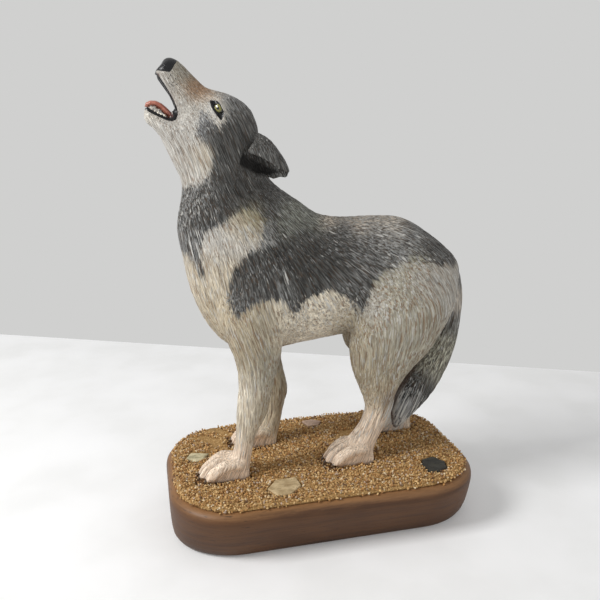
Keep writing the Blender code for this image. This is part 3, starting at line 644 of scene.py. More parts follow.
# Painter's colours, and the dabs laid with them in the side view: x, z, reach and colour
paints = {
    "white": (200, 197, 190), "cream": (204, 193, 172), "warm": (193, 181, 157), "ash": (179, 175, 166),
    "stone": (168, 163, 147), "linen": (226, 217, 198), "sand": (171, 161, 139), "tan": (172, 138, 108),
    "umber": (118, 100, 82), "pink": (240, 220, 198), "fog": (199, 187, 171), "slate": (118, 118, 115),
    "iron": (90, 90, 88), "lead": (76, 76, 74), "coal": (66, 66, 64), "ink": (42, 42, 40),
    "moss": (160, 153, 126), "olive": (166, 164, 148), "sage": (128, 130, 121), "mist": (120, 121, 123),
    "chalk": (226, 222, 212),
}
lightDabs = [
    (-63, 193, 3, "white"), (-57, 190, 4, "ash"), (-53.5, 193.5, 2.5, "stone"), (-50, 190.5, 2.5, "tan"),
    (-55, 198, 3, "stone"), (-47.5, 186, 2.5, "tan"), (-50, 182, 3, "ash"), (-45, 190, 2.5, "tan"),
    (-40, 189, 3, "fog"), (-42, 178, 3, "chalk"), (-45.5, 184, 1.8, "chalk"), (-39, 175, 2, "chalk"),
    (-47.5, 181, 1.6, "chalk"), (-54, 176, 5, "white"), (-67, 178, 4, "chalk"), (-63, 172, 4, "white"),
    (-57, 164, 5, "white"), (-50, 157, 5, "white"), (-47, 160, 3, "cream"), (-58, 153, 4, "ash"),
    (-42, 128, 6, "white"), (-33, 134, 4, "cream"), (-28, 137.5, 3, "moss"), (-52, 112, 5, "cream"),
    (-44, 112, 6, "cream"), (-48, 98, 5, "warm"), (-38, 90, 6, "warm"), (-25, 88, 6, "sand"),
    (-12, 90, 6, "linen"), (0, 90, 6, "linen"), (8, 95, 5, "linen"), (15, 86, 5, "sand"),
    (-32, 76, 6, "sand"), (-33, 60, 6, "linen"), (-35, 46, 6, "cream"), (-38, 33, 5, "pink"),
    (-48, 27, 6, "pink"), (-20, 70, 5, "stone"), (-18, 52, 6, "sand"), (-20, 40, 5, "warm"),
    (-30, 28, 5, "pink"), (40, 105, 6, "stone"), (50, 104, 5, "ash"), (60, 100, 5, "ash"),
    (48, 93, 5, "stone"), (62, 90, 5, "ash"), (55, 86, 5, "stone"), (35, 92, 6, "stone"),
    (27, 95, 4, "ash"), (35, 76, 6, "stone"), (27, 66, 6, "sand"), (27, 54, 5, "warm"),
    (34, 52, 2.5, "umber"), (24, 42, 5, "pink"), (14, 30, 6, "pink"), (50, 66, 6, "stone"),
    (51, 50, 6, "sand"), (50, 38, 5, "warm"), (44, 29, 5, "pink"),
]
darkDabs = [
    (-36, 186, 3, "mist"), (-40, 187, 3, "fog"), (-31, 181, 4, "slate"), (-27, 174, 4, "iron"),
    (-47, 172, 3, "mist"), (-44, 167, 3, "slate"), (-36, 166, 5, "lead"), (-30, 156, 5, "iron"),
    (-40, 156, 4, "lead"), (-48, 148, 4, "iron"), (-30, 146, 5, "lead"), (-18, 152, 5, "iron"),
    (-57, 142, 5, "coal"), (-46, 143, 4, "lead"), (-38, 143, 4, "lead"), (-52, 130, 4, "lead"),
    (-56, 125, 4, "iron"), (-27, 138, 3, "moss"), (-31, 136, 2, "moss"), (-20, 139, 3, "lead"),
    (-10, 138, 4, "sage"), (-3, 136, 4, "sage"), (-12, 131, 3, "sage"), (-22, 129, 3, "slate"),
    (-33, 116, 5, "lead"), (-25, 112, 5, "lead"), (-33, 102, 5, "iron"), (-18, 104, 5, "iron"),
    (-12, 122, 5, "coal"), (-2, 112, 5, "coal"), (5, 119, 5, "coal"), (-5, 127, 3, "lead"),
    (12, 128, 4, "iron"), (6, 136, 3, "fog"), (20, 135, 4, "fog"), (35, 134, 5, "fog"),
    (48, 131, 5, "iron"), (30, 126, 5, "slate"), (45, 121, 5, "slate"), (57, 118, 5, "lead"),
    (64, 114, 4, "iron"), (22, 117, 5, "iron"), (35, 115, 4, "slate"), (46, 114, 3, "moss"),
    (12, 108, 4, "iron"), (22, 99, 4, "iron"), (21, 93, 2, "slate"),
]
tailDabs = [
    (67, 106, 5, "slate"), (67, 97, 5, "fog"), (66, 86, 5, "slate"), (62, 74, 5, "olive"),
    (56, 65, 5, "olive"), (50, 57, 4, "lead"), (45, 51, 5, "ink"), (40, 42, 6, "ink"), (70, 94, 2, "fog"),
]

# How thickly each kind of stroke lies: place, reach, then pale, deep and rust shares
strokeDabs = [
    (-58, 190, 5, 0.25, 0.12, 0.04), (-52, 192, 3, 0.10, 0.30, 0.30), (-48, 187, 3, 0.10, 0.20, 0.45),
    (-42, 189, 3, 0.30, 0.25, 0.10), (-54, 177, 5, 0.35, 0.12, 0.05), (-66, 177, 4, 0.30, 0.16, 0.03),
    (-58, 165, 5, 0.30, 0.26, 0.10), (-50, 157, 4, 0.35, 0.16, 0.22), (-42, 178, 3, 0.55, 0.10, 0.00),
    (-46, 171, 3, 0.28, 0.35, 0.02), (-35, 184, 4, 0.42, 0.25, 0.00), (-27, 174, 4, 0.08, 0.30, 0.00),
    (-36, 164, 5, 0.07, 0.30, 0.04), (-30, 148, 5, 0.08, 0.30, 0.00), (-56, 142, 5, 0.40, 0.42, 0.06),
    (-46, 143, 4, 0.30, 0.40, 0.05), (-54, 127, 4, 0.42, 0.35, 0.08), (-38, 143, 4, 0.15, 0.35, 0.02),
    (-42, 127, 5, 0.30, 0.05, 0.16), (-45, 108, 6, 0.28, 0.08, 0.20), (-30, 88, 6, 0.20, 0.12, 0.24),
    (-27, 137, 3, 0.20, 0.25, 0.00), (-8, 136, 5, 0.20, 0.28, 0.02), (-24, 129, 3, 0.40, 0.20, 0.00),
    (-30, 110, 6, 0.12, 0.32, 0.02), (-18, 104, 5, 0.18, 0.28, 0.02), (0, 115, 6, 0.06, 0.30, 0.00),
    (12, 127, 4, 0.22, 0.25, 0.05), (22, 134, 5, 0.42, 0.22, 0.22), (38, 130, 6, 0.42, 0.25, 0.20),
    (55, 121, 5, 0.24, 0.32, 0.10), (25, 118, 5, 0.28, 0.28, 0.10), (20, 99, 4, 0.22, 0.25, 0.02),
    (46, 113, 3, 0.35, 0.20, 0.18), (40, 103, 6, 0.34, 0.10, 0.22), (52, 92, 5, 0.20, 0.16, 0.40),
    (62, 96, 5, 0.36, 0.10, 0.14), (38, 80, 6, 0.24, 0.12, 0.26), (5, 90, 6, 0.30, 0.12, 0.14),
    (-32, 62, 7, 0.26, 0.05, 0.16), (-36, 42, 6, 0.20, 0.05, 0.14), (28, 58, 6, 0.22, 0.12, 0.24),
    (24, 40, 6, 0.22, 0.05, 0.16), (-18, 55, 6, 0.16, 0.12, 0.28), (51, 52, 6, 0.16, 0.12, 0.26),
    (-45, 27, 5, 0.15, 0.00, 0.10), (18, 29, 5, 0.15, 0.00, 0.10), (-22, 166, 4, 0.12, 0.25, 0.05),
    (67, 100, 5, 0.30, 0.30, 0.02), (64, 80, 5, 0.16, 0.30, 0.18), (56, 66, 5, 0.10, 0.30, 0.22),
    (50, 57, 3, 0.30, 0.30, 0.10), (45, 51, 4, 0.72, 0.10, 0.00), (41, 44, 5, 0.82, 0.10, 0.00),
]


def dabbed(dabs, x, z, values):
    # the dabs' values run into each other, each with its own reach
    total, weight = 0.0, 1e-9
    for (dabX, dabZ, reach, *_), value in zip(dabs, values):
        pull = np.exp(-((x - dabX) ** 2 + (z - dabZ) ** 2) / (2 * reach * reach)) + 1e-4 / (
            1 + ((x - dabX) ** 2 + (z - dabZ) ** 2) / 100)
        total = total + pull[..., None] * np.asarray(value, float)
        weight = weight + pull
    return total / weight[..., None]


def edgeDistance(x, z, outline):
    # distance to a closed outline, above zero inside it
    nearest = np.full(x.shape, 1e9)
    inside = np.zeros(x.shape, bool)
    for (ax, az), (bx, bz) in zip(outline, outline[1:] + outline[:1]):
        alongX, alongZ = bx - ax, bz - az
        share = np.clip(((x - ax) * alongX + (z - az) * alongZ) / (alongX ** 2 + alongZ ** 2), 0, 1)
        nearest = np.minimum(nearest, np.hypot(x - ax - share * alongX, z - az - share * alongZ))
        if alongZ:
            crosses = ((az > z) != (bz > z)) & (x < ax + alongX * (z - az) / alongZ)
            inside ^= crosses
    return np.where(inside, nearest, -nearest)


def lineReach(x, z, line):
    # how deep a point lies inside a line whose half width changes along it
    deepest = np.full(x.shape, -1e9)
    for (ax, az, ar), (bx, bz, br) in zip(line, line[1:]):
        alongX, alongZ = bx - ax, bz - az
        share = np.clip(((x - ax) * alongX + (z - az) * alongZ) / (alongX ** 2 + alongZ ** 2), 0, 1)
        away = np.hypot(x - ax - share * alongX, z - az - share * alongZ)
        deepest = np.maximum(deepest, ar + (br - ar) * share - away)
    return deepest


hairGrid = {"left": -80.0, "low": 18.0, "columns": 166, "rows": 192, "rounds": 900}


def hairMaps():
    # two maps over the side view: one grows along the hair's lie, the other across it
    xs = hairGrid["left"] + np.arange(hairGrid["columns"])[:, None] + np.zeros((1, hairGrid["rows"]))
    zs = hairGrid["low"] + np.arange(hairGrid["rows"])[None, :] + np.zeros((hairGrid["columns"], 1))
    dabs = [(x, z, 7.0) for x, z, _, _ in hairLie]
    lie = dabbed(dabs, xs, zs, [(dx, dz) for _, _, dx, dz in hairLie])
    lie /= np.linalg.norm(lie, axis=2, keepdims=True)
    trust = np.full(xs.shape, 0.03)
    for x, z, _, _ in hairLie:
        trust = np.maximum(trust, np.exp(-((xs - x) ** 2 + (zs - z) ** 2) / 200))

    def centred(values):
        return (values[1:, 1:] + values[:-1, 1:] + values[1:, :-1] + values[:-1, :-1]) / 4

    lieX, lieZ, trusted = centred(lie[..., 0]), centred(lie[..., 1]), centred(trust)

    def slopes(level):
        right, left, high, low = level[1:], level[:-1], level[:, 1:], level[:, :-1]
        across, upward = right - left, high - low
        return (across[:, 1:] + across[:, :-1]) / 2, (upward[1:] + upward[:-1]) / 2

    def gathered(slopeX, slopeZ, strictness):
        # slopes weighed along the hair and across it, and brought back to the map's points
        alongLie = trusted * strictness[0] * (slopeX * lieX + slopeZ * lieZ)
        acrossLie = trusted * strictness[1] * (slopeZ * lieX - slopeX * lieZ)
        weighedX, weighedZ = alongLie * lieX - acrossLie * lieZ, alongLie * lieZ + acrossLie * lieX
        out = np.zeros(xs.shape)
        out[1:, 1:] += (weighedX + weighedZ) / 2
        out[:-1, 1:] += (weighedZ - weighedX) / 2
        out[1:, :-1] += (weighedX - weighedZ) / 2
        out[:-1, :-1] -= (weighedX + weighedZ) / 2
        return out

    def climb(wantX, wantZ, strictness):
        # least squares: the map whose slopes come nearest to those wanted
        level = xs * wantX.mean() + zs * wantZ.mean()
        slopeX, slopeZ = slopes(level)
        left = gathered(wantX - slopeX, wantZ - slopeZ, strictness)
        move, size = left.copy(), (left ** 2).sum()
        for _ in range(hairGrid["rounds"]):
            spread = gathered(*slopes(move), strictness)
            pace = size / max((move * spread).sum(), 1e-12)
            level += pace * move
            left -= pace * spread
            fresh = (left ** 2).sum()
            move, size = left + move * fresh / max(size, 1e-12), fresh
        return level

    return climb(lieX, lieZ, (1.0, 0.3)), climb(-lieZ, lieX, (7.0, 1.0))


def readMap(level, x, z):
    column = np.clip(x - hairGrid["left"], 0, hairGrid["columns"] - 1.001)
    row = np.clip(z - hairGrid["low"], 0, hairGrid["rows"] - 1.001)
    i, j = column.astype(int), row.astype(int)
    a, b = column - i, row - j
    return ((level[i, j] * (1 - a) + level[i + 1, j] * a) * (1 - b)
            + (level[i, j + 1] * (1 - a) + level[i + 1, j + 1] * a) * b)


alongHair, acrossHair = hairMaps()
print("the lie of the hair is worked out")

# The face
face = {
    # the eye's opening: front and lower corner on the left side, and how far its two lids bow
    "eyeFront": (-44.62, -6.93, 184.87), "eyeRear": (-41.21, -10.60, 177.78), "gaze": (-0.46, -0.89, -0.03),
    "upperLid": 2.55, "lowerLid": 0.35, "lidSink": 0.5, "lidRise": 0.28, "lidDeep": 3.2, "rimWidth": 0.3,
    "irisRadius": 1.68, "pupilRadius": 0.62, "glassReach": 3.9, "glassDepth": 1.9,
    "lipRaise": 0.2, "lipSpread": 0.12, "mouthFront": -72, "mouthBack": -59.8,
    # the trough under the tongue is round across, and widens from the lip to the back of the mouth
    "troughDepth": 1.0, "troughRound": 0.06, "troughHalf": 1.3, "troughWidens": 0.26, "overTongue": 3.0,
    # the two edges of the black nose in the side view: a point and the way in
    "noseRear": (-59.3, 196.1, -0.835, 0.55), "noseFoot": (-59.3, 195.6, 0.16, 0.985),
    # x, out from the middle, z
    "nostril": (-62.1, 1.5, 198.6), "nostrilReach": 0.95, "nostrilDepth": 0.8,
    # lips in the side view: x, z and radius
    "upperLip": [(-65.3, 195.7, 0.30), (-64.6, 194.5, 0.42), (-63.6, 192.9, 0.46), (-62.4, 191.0, 0.50),
                 (-61.3, 189.0, 0.55), (-60.3, 187.0, 0.62), (-59.4, 184.8, 0.78), (-58.6, 182.4, 0.92),
                 (-58.2, 180.2, 0.85), (-58.6, 178.7, 0.60)],
    "lowerLip": [(-70.7, 183.4, 0.30), (-69.6, 182.5, 0.46), (-67.9, 181.3, 0.50), (-65.9, 180.2, 0.50),
                 (-63.9, 179.3, 0.50), (-62.1, 178.5, 0.55), (-60.2, 178.0, 0.60), (-58.8, 178.4, 0.60)],
    # tongue along its middle: x, z, half thickness, half width
    "tongue": [(-58.0, 178.2, 1.1, 2.4), (-59.6, 179.2, 1.2, 2.6), (-61.0, 180.5, 1.25, 2.7),
               (-62.4, 182.0, 1.25, 2.7), (-64.0, 183.3, 1.25, 2.6), (-65.8, 184.2, 1.2, 2.4),
               (-67.6, 184.4, 1.05, 2.1), (-69.0, 183.9, 0.85, 1.6), (-70.0, 183.3, 0.5, 0.9)],
}


def eyeFrame():
    # along the opening, out of the head, and across it, for the left eye
    front, rear = np.array(face["eyeFront"]), np.array(face["eyeRear"])
    along = (rear - front) / np.linalg.norm(rear - front)
    gaze = np.array(face["gaze"]) / np.linalg.norm(face["gaze"])
    out = gaze - along * (gaze @ along)
    out /= np.linalg.norm(out)
    across = np.cross(out, along)
    return front, along, out, across, np.linalg.norm(rear - front)


def eyeEdge(points):
    # how deep a point lies inside the eye's opening, and far below zero away from it
    front, along, out, across, length = eyeFrame()
    mirrored = points.copy()
    mirrored[:, 1] = midY - np.abs(points[:, 1] - midY)
    local = mirrored - front
    u, v, height = local @ along, local @ across, local @ out
    share = np.clip(u / length, 0, 1) ** 0.85
    bow = 4 * share * (1 - share)
    inside = np.minimum(face["upperLid"] * bow ** 0.9 - v, v + face["lowerLid"] * bow)
    beyond = np.maximum(-u, u - length)
    inside = np.where(beyond > 0, -np.hypot(beyond, v), inside)
    return np.where(np.abs(height) < face["lidDeep"], inside, -9.0)


def noseEdge(points):
    # how deep a point lies in the black of the nose, which comes down in the middle

    def beyond(edge):
        edgeX, edgeZ, inX, inZ = face[edge]
        return (points[:, 0] - edgeX) * inX + (points[:, 2] - edgeZ) * inZ

    middle = 0.7 * np.exp(-((points[:, 1] - midY) / 0.8) ** 2)
    return np.minimum(beyond("noseRear"), beyond("noseFoot") + middle)


def lineHeight(line, x):
    places = sorted((point[0], point[1]) for point in line)
    return np.interp(x, [place[0] for place in places], [place[1] for place in places])


def lipReach(x, z):
    return np.maximum(lineReach(x, z, face["upperLip"]), lineReach(x, z, face["lowerLip"]))


def eyePlace(side):
    x, out, z = wolfSize["eye"]
    return Vector((x, midY + side * out, z))


# Ears: a hollow under an outer wall, with a rim below
ears = {
    # root and tip of an ear: x, out from the middle, z
    "root": (-29.0, 9.8, 160.3), "tip": (-14.3, 14.0, 155.6),
    "back": (0.30, 0.0, 0.95), "reach": 3.5, "outer": 1.0, "depth": (13.0, 2.2), "softening": 14,
    "wallShift": (-3.4, 0.0, -1.2), "pitDepth": 1.4, "rimRise": 0.7,
    "darkFrom": -33, "darkTo": -8, "darkAbove": 148,
    "hollow": [(-33.2, 165.2), (-35.0, 160.8), (-32.6, 158.9), (-27.0, 156.5), (-21.0, 155.6),
               (-17.2, 157.4), (-21.2, 159.0), (-25.3, 161.0), (-29.3, 163.0)],
    "rim": [(-35.6, 160.2, 0.7), (-33.0, 158.1, 0.9), (-30.3, 156.9, 0.9), (-27.0, 155.5, 0.9),
            (-23.8, 154.9, 0.6)],
    # share of the way from root to tip, and how far the inner wall comes down there
    "drop": ([-0.2, 0.1, 0.6, 0.85, 1.1], [0.0, 2.6, 3.4, 2.2, 0.0]),
}


def earSpace(points):
    # points measured from an ear's root, both sides alike; how far out they lie; and root to tip
    root, tip = np.array(ears["root"]), np.array(ears["tip"])
    out = np.abs(points[:, 1] - midY)
    return np.column_stack([points[:, 0], out, points[:, 2]]) - root, out, tip - root


def earHollow(points, normals):
    # above zero on the inner wall of an ear's cup
    fromRoot, out, whole = earSpace(points)
    normal = np.column_stack([normals[:, 0], normals[:, 1] * np.sign(points[:, 1] - midY), normals[:, 2]])
    axis = whole / np.linalg.norm(whole)
    along = fromRoot @ axis
    away = fromRoot - along[:, None] * axis
    radius = np.linalg.norm(away, axis=1)
    inward = -(away * normal).sum(1) / np.maximum(radius, 1e-6)
    near = step(radius, 9.5, 8.0) * step(along, -1.5, 0.5) * step(along, 17.5, 16.5)
    return np.where(out > 4.0, inward * near, 0.0)


# Paws, each with four toes and three clefts
paws = {
    # heel x, out from the middle, and length of each
    "heels": {"left_fore": (-34.5, -13.4, 20.5), "right_fore": (-16.3, 15.8, 20.5),
              "left_hind": (24.0, -13.2, 22.5), "right_hind": (54.5, 16.0, 22.5)},
    "knuckle": 0.66, "spread": 3.5, "splay": 0.05, "setback": 2.6, "tall": 13,
    "toes": (-1.5, -0.5, 0.5, 1.5), "toeWidth": 1.0, "knuckleRise": 0.45,
    # the last value is how wide the painted shade in each cleft lies
    "clefts": (-1, 0, 1), "cleftDepth": 0.95, "cleftWidth": 0.62, "paintedShadeWidth": 0.5,
}


def pawPlaces(points):
    # for each paw: how far ahead of the knuckles, how far across in toe widths, height, and nearness
    x, y, height = points[:, 0], points[:, 1], points[:, 2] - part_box("wolf")[0].z / mm
    for heelX, out, length in paws["heels"].values():
        ahead = heelX - paws["knuckle"] * length - x
        across = (y - midY - out) / (paws["spread"] + ahead * paws["splay"])
        near = step(np.abs(across), 2.9, 2.4) * step(ahead, -9, -3) * step(ahead, 13, 11)
        yield ahead, across, height, near * step(height, paws["tall"] + 1, paws["tall"] - 2)


def ridges(across, places, width):
    # one soft ridge at each place across the paw
    return sum(np.exp(-((across - place) * paws["spread"] / width) ** 2) for place in places)


def betweenToes(points):
    # painted shade: darker in the clefts between the toes and along the bottom of the toes, near the ground
    soot = np.zeros(len(points))
    for ahead, across, height, near in pawPlaces(points):
        cleft = ridges(across, paws["clefts"], paws["paintedShadeWidth"])
        low = step(height, 2.2, 0.6) * step(ahead, -2, 2)
        soot = np.maximum(soot, near * np.maximum(cleft * step(ahead, -5, 2), low * 0.8))
    return soot


def shapeToes(points, normals, lift):
    for ahead, across, height, near in pawPlaces(points):
        cleft = ridges(across, paws["clefts"], paws["cleftWidth"])
        crown = ridges(across, paws["toes"], paws["toeWidth"])
        setback = paws["setback"] * step(np.abs(across), 0.9, 1.1)
        bend = np.exp(-((ahead + setback) / 2.2) ** 2) * step(height, 4.5, 7.5)
        upward = step(normals[:, 2], -0.4, 0.2)
        lift -= near * upward * paws["cleftDepth"] * cleft * step(ahead, -8, -1)
        lift += near * upward * paws["knuckleRise"] * crown * bend


def wolfSkin():
    skin = copyOfNode("wolf", "wolf_coat")
    modify(skin, "SUBSURF", levels=2, render_levels=2)
    # the solid tongue is pressed down to the floor of the mouth: a finer one lies there later
    points = pointsOf(skin)
    x, y, z = points.T
    floor = lineHeight(face["lowerLip"], x) - face["troughDepth"] + face["troughRound"] * (y - midY) ** 2
    top = lineHeight(face["tongue"], x) + face["overTongue"]
    halfTrough = np.clip(face["troughHalf"] + (x + 70) * face["troughWidens"], 1.1, 3.9)
    mouth = (x < face["mouthBack"]) & (z > floor) & (z < top) & (x > face["mouthFront"])
    sunk = step(np.abs(y - midY), halfTrough + 0.5, halfTrough) * mouth
    points[:, 2] += (floor - z) * sunk
    movePoints(skin, points)
    lids = []
    for side in (-1, 1):
        bpy.ops.mesh.primitive_uv_sphere_add(segments=32, ring_count=20, radius=wolfSize["lidRadius"] * mm,
                                             location=eyePlace(side) * mm)
        lids.append(bpy.context.object)
    skin = joined([skin, *lids], "wolf_coat")
    modify(skin, "REMESH", mode="VOXEL", voxel_size=wolfSize["voxel"] * mm)
    modify(skin, "SMOOTH", factor=0.5, iterations=wolfSize["smoothing"])
    return skin


def shapeEars(points, normals):
    # the inner wall of each ear hangs lower than the outer one
    back = np.array(ears["back"]) / np.linalg.norm(ears["back"])
    fromRoot, out, whole = earSpace(points)
    along = fromRoot @ whole / np.linalg.norm(whole) ** 2
    away = fromRoot - np.clip(along, 0, 1)[:, None] * whole
    height, aside, distance = away @ back, away[:, 1], np.linalg.norm(away, axis=1)
    drop = step(height, ears["reach"], -0.5) * step(aside, ears["outer"] + 0.8, ears["outer"])
    drop *= step(distance, 11.0, 4.5) * np.interp(along, *ears["drop"])
    points -= back * drop[:, None]
    # the outer wall reaches forward over the hollow
    depth = np.interp(along, [0, 1], ears["depth"])
    wall = step(aside, 0.2, 1.2) * step(height / depth, 0.85, 0.3)
    wall = wall * step(along, -0.35, 0.0) * step(along, 1.2, 0.9)
    wall *= step(distance, 15.0, 12.0) * (out > 5)
    points += wall[:, None] * ears["wallShift"]
    # the hollow deepens towards the middle, and a rim stands under it
    inside = edgeDistance(points[:, 0], points[:, 2], ears["hollow"]) * (out > 5.5)
    side = np.sign(points[:, 1] - midY)
    outward = side * step(normals[:, 1] * side, 0.1, 0.5)
    points[:, 1] -= outward * ears["pitDepth"] * step(inside, 0.0, 1.3)
    rim = step(lineReach(points[:, 0], points[:, 2], ears["rim"]), -0.3, 0.6) * (out > 6)
    points += normals * (rim * np.abs(outward) * ears["rimRise"])[:, None]


def earShare(points):
    # one on the ears, falling to nothing on the skull
    fromRoot, out, whole = earSpace(points)
    along = np.clip(fromRoot @ whole / (whole @ whole), 0, 1.2)
    return step(np.linalg.norm(fromRoot - along[:, None] * whole, axis=1), 11.0, 8.0) * (out > 5)


def hairPlaces(points):
    return readMap(alongHair, points[:, 0], points[:, 2]), readMap(acrossHair, points[:, 0], points[:, 2])


def carve(skin):
    points, normals = pointsOf(skin), normalsOf(skin)
    x, y, z = points.T
    along, across = hairPlaces(points)
    lidDepth = eyeEdge(points)
    # full locks on the body, half as deep on the face, and none on paws, nose, lids and ear cups
    fur = step(z, 34, 44) * (1 - 0.5 * step(z, 150, 160) * step(x, -28, -34))
    fur *= step(noseEdge(points), 1.0, -1.5)
    fur *= step(lidDepth, -0.6, -3.0) * step(earHollow(points, normals), 0.5, 0.2)
    mouthNear = np.minimum(np.abs(z - lineHeight(face["lowerLip"], x)) + 20 * (x > -58),
                           np.hypot(x + 61, z - 188))
    fur *= step(mouthNear, 0.5, 2.0)
    locks, tufts = np.zeros(len(points)), np.zeros(len(points))
    for i in range(len(points)):
        place = Vector((along[i] / wolfSize["lockLength"], across[i] / wolfSize["lockWidth"],
                        y[i] / wolfSize["lockWidth"]))
        near = noise.voronoi(place)[0]
        locks[i] = min((near[1] - near[0]) / wolfSize["lockGroove"], 1.0)
        tufts[i] = noise.noise(Vector((along[i] / wolfSize["tuftLength"], across[i] / wolfSize["tuftWidth"],
                                       y[i] / wolfSize["tuftWidth"])))
    lift = fur * (wolfSize["lockDepth"] * (locks - 1) + wolfSize["tuftDepth"] * tufts * step(z, 60, 80))
    # the skin under the eye's opening sinks, so that the glass shows between the lids
    for side in (-1, 1):
        eye = np.array(eyePlace(side))
        away = points - eye
        reach = np.linalg.norm(away, axis=1)
        opened = step(lidDepth, -0.15, 0.25) * ((y - midY) * side > 0)
        over = (reach < face["glassReach"]) & (opened > 0)
        sunk = np.maximum(reach - face["glassDepth"], 0) * opened
        points[over] -= (away / reach[:, None] * sunk[:, None])[over]
        lift[(~over) & (opened > 0)] -= (face["lidSink"] * opened)[(~over) & (opened > 0)]
        holeX, holeOut, holeZ = face["nostril"]
        hole = np.array([holeX, midY + side * holeOut, holeZ])
        away = np.linalg.norm(points - hole, axis=1)
        lift -= face["nostrilDepth"] * step(away, face["nostrilReach"], 0.2)
    lift += face["lidRise"] * step(lidDepth, -1.1, -0.35) * step(lidDepth, 0.0, -0.3)
    lift += face["lipRaise"] * step(lipReach(x, z), -0.15, 0.3)
    shapeToes(points, normals, lift)
    points += normals * lift[:, None]
    shapeEars(points, normals)
    # the roof of the mouth hollows out, and the lips hang beside it
    upper, offMiddle = lineReach(x, z, face["upperLip"]), np.abs(y - midY)
    inMouth = step(x, -58.0, -59.5) * step(z, 195.4, 193.6)
    roof = step(offMiddle, 2.0, 1.1) * step(upper, -1.6, 0.2) * inMouth
    hang = step(offMiddle, 1.6, 2.3) * step(offMiddle, 4.2, 3.0) * step(upper, -2.2, -0.6) * inMouth
    points += np.array([0.85, 0.0, 0.5]) * (roof * 0.9 - hang * 0.75)[:, None]
    movePoints(skin, points)
    softened = skin.vertex_groups.new(name="ears")
    share = earShare(points)
    for index in np.flatnonzero(share > 0.02):
        softened.add([int(index)], float(share[index]), "REPLACE")
    modify(skin, "SMOOTH", factor=0.5, iterations=ears["softening"], vertex_group="ears")
    skin.vertex_groups.clear()
    triangles = sum(len(polygon.vertices) - 2 for polygon in skin.data.polygons)
    modify(skin, "DECIMATE", ratio=min(1.0, wolfSize["faces"] / triangles))


# The painted coat: dabs of colour, streaks along the hair, then thin strokes
coat = {
    "pale": (214, 212, 206), "paleCold": (158, 161, 164), "paleDim": (146, 144, 140),
    "deep": (58, 54, 50), "deepWarm": (84, 66, 50), "bark": (118, 96, 74), "rust": (140, 108, 78),
    # the dark brown last on the next line is painted shade between the toes and along the tail's edge
    # the near black of the ear cups is painted shade in the hollow
    "ink": (24, 24, 26), "lining": (70, 34, 32), "hollow": (26, 24, 22), "soot": (84, 62, 50),
    "leanX": 0.27, "leanZ": -0.24, "tailHalf": 10, "tailSwing": 0.004, "wispReach": 8.0, "hairReach": 10.0,
    "gain": 1.06, "broadContrast": 0.36, "warmWash": (222, 206, 190),
    # on pale paint, then on dark
    "fineContrast": (0.28, 1.1), "fineWarmth": (0.35, 0.25),
    # strokes laid one over another: where they lie, shift, tones on dark and on pale paint, strength,
    # length, width and rarity
    "layers": [
        ("rustStrokes", 11.0, "deepWarm", "rust", 0.6, 12.0, 0.5, 0.665),
        ("deepStrokes", 17.0, "deep", "bark", 0.7, 12.0, 0.55, 0.70),
        ("deepStrokes", 19.0, "deepWarm", "bark", 0.6, 8.0, 0.36, 0.70),
        ("paleStrokes", 23.0, "paleDim", "paleCold", 0.6, 7.0, 0.5, 0.725),
        ("paleStrokes", 29.0, "pale", "paleCold", 0.6, 8.0, 0.5, 0.725),
        ("paleStrokes", 37.0, "pale", "paleDim", 0.6, 9.0, 0.55, 0.725),
        ("paleStrokes", 53.0, "pale", "pale", 0.85, 18.0, 0.9, 0.775),
    ],
}


def dabPaint(dabs, x, z):
    return linear(dabbed(dabs, x, z, [paints[name] for _, _, _, name in dabs]))


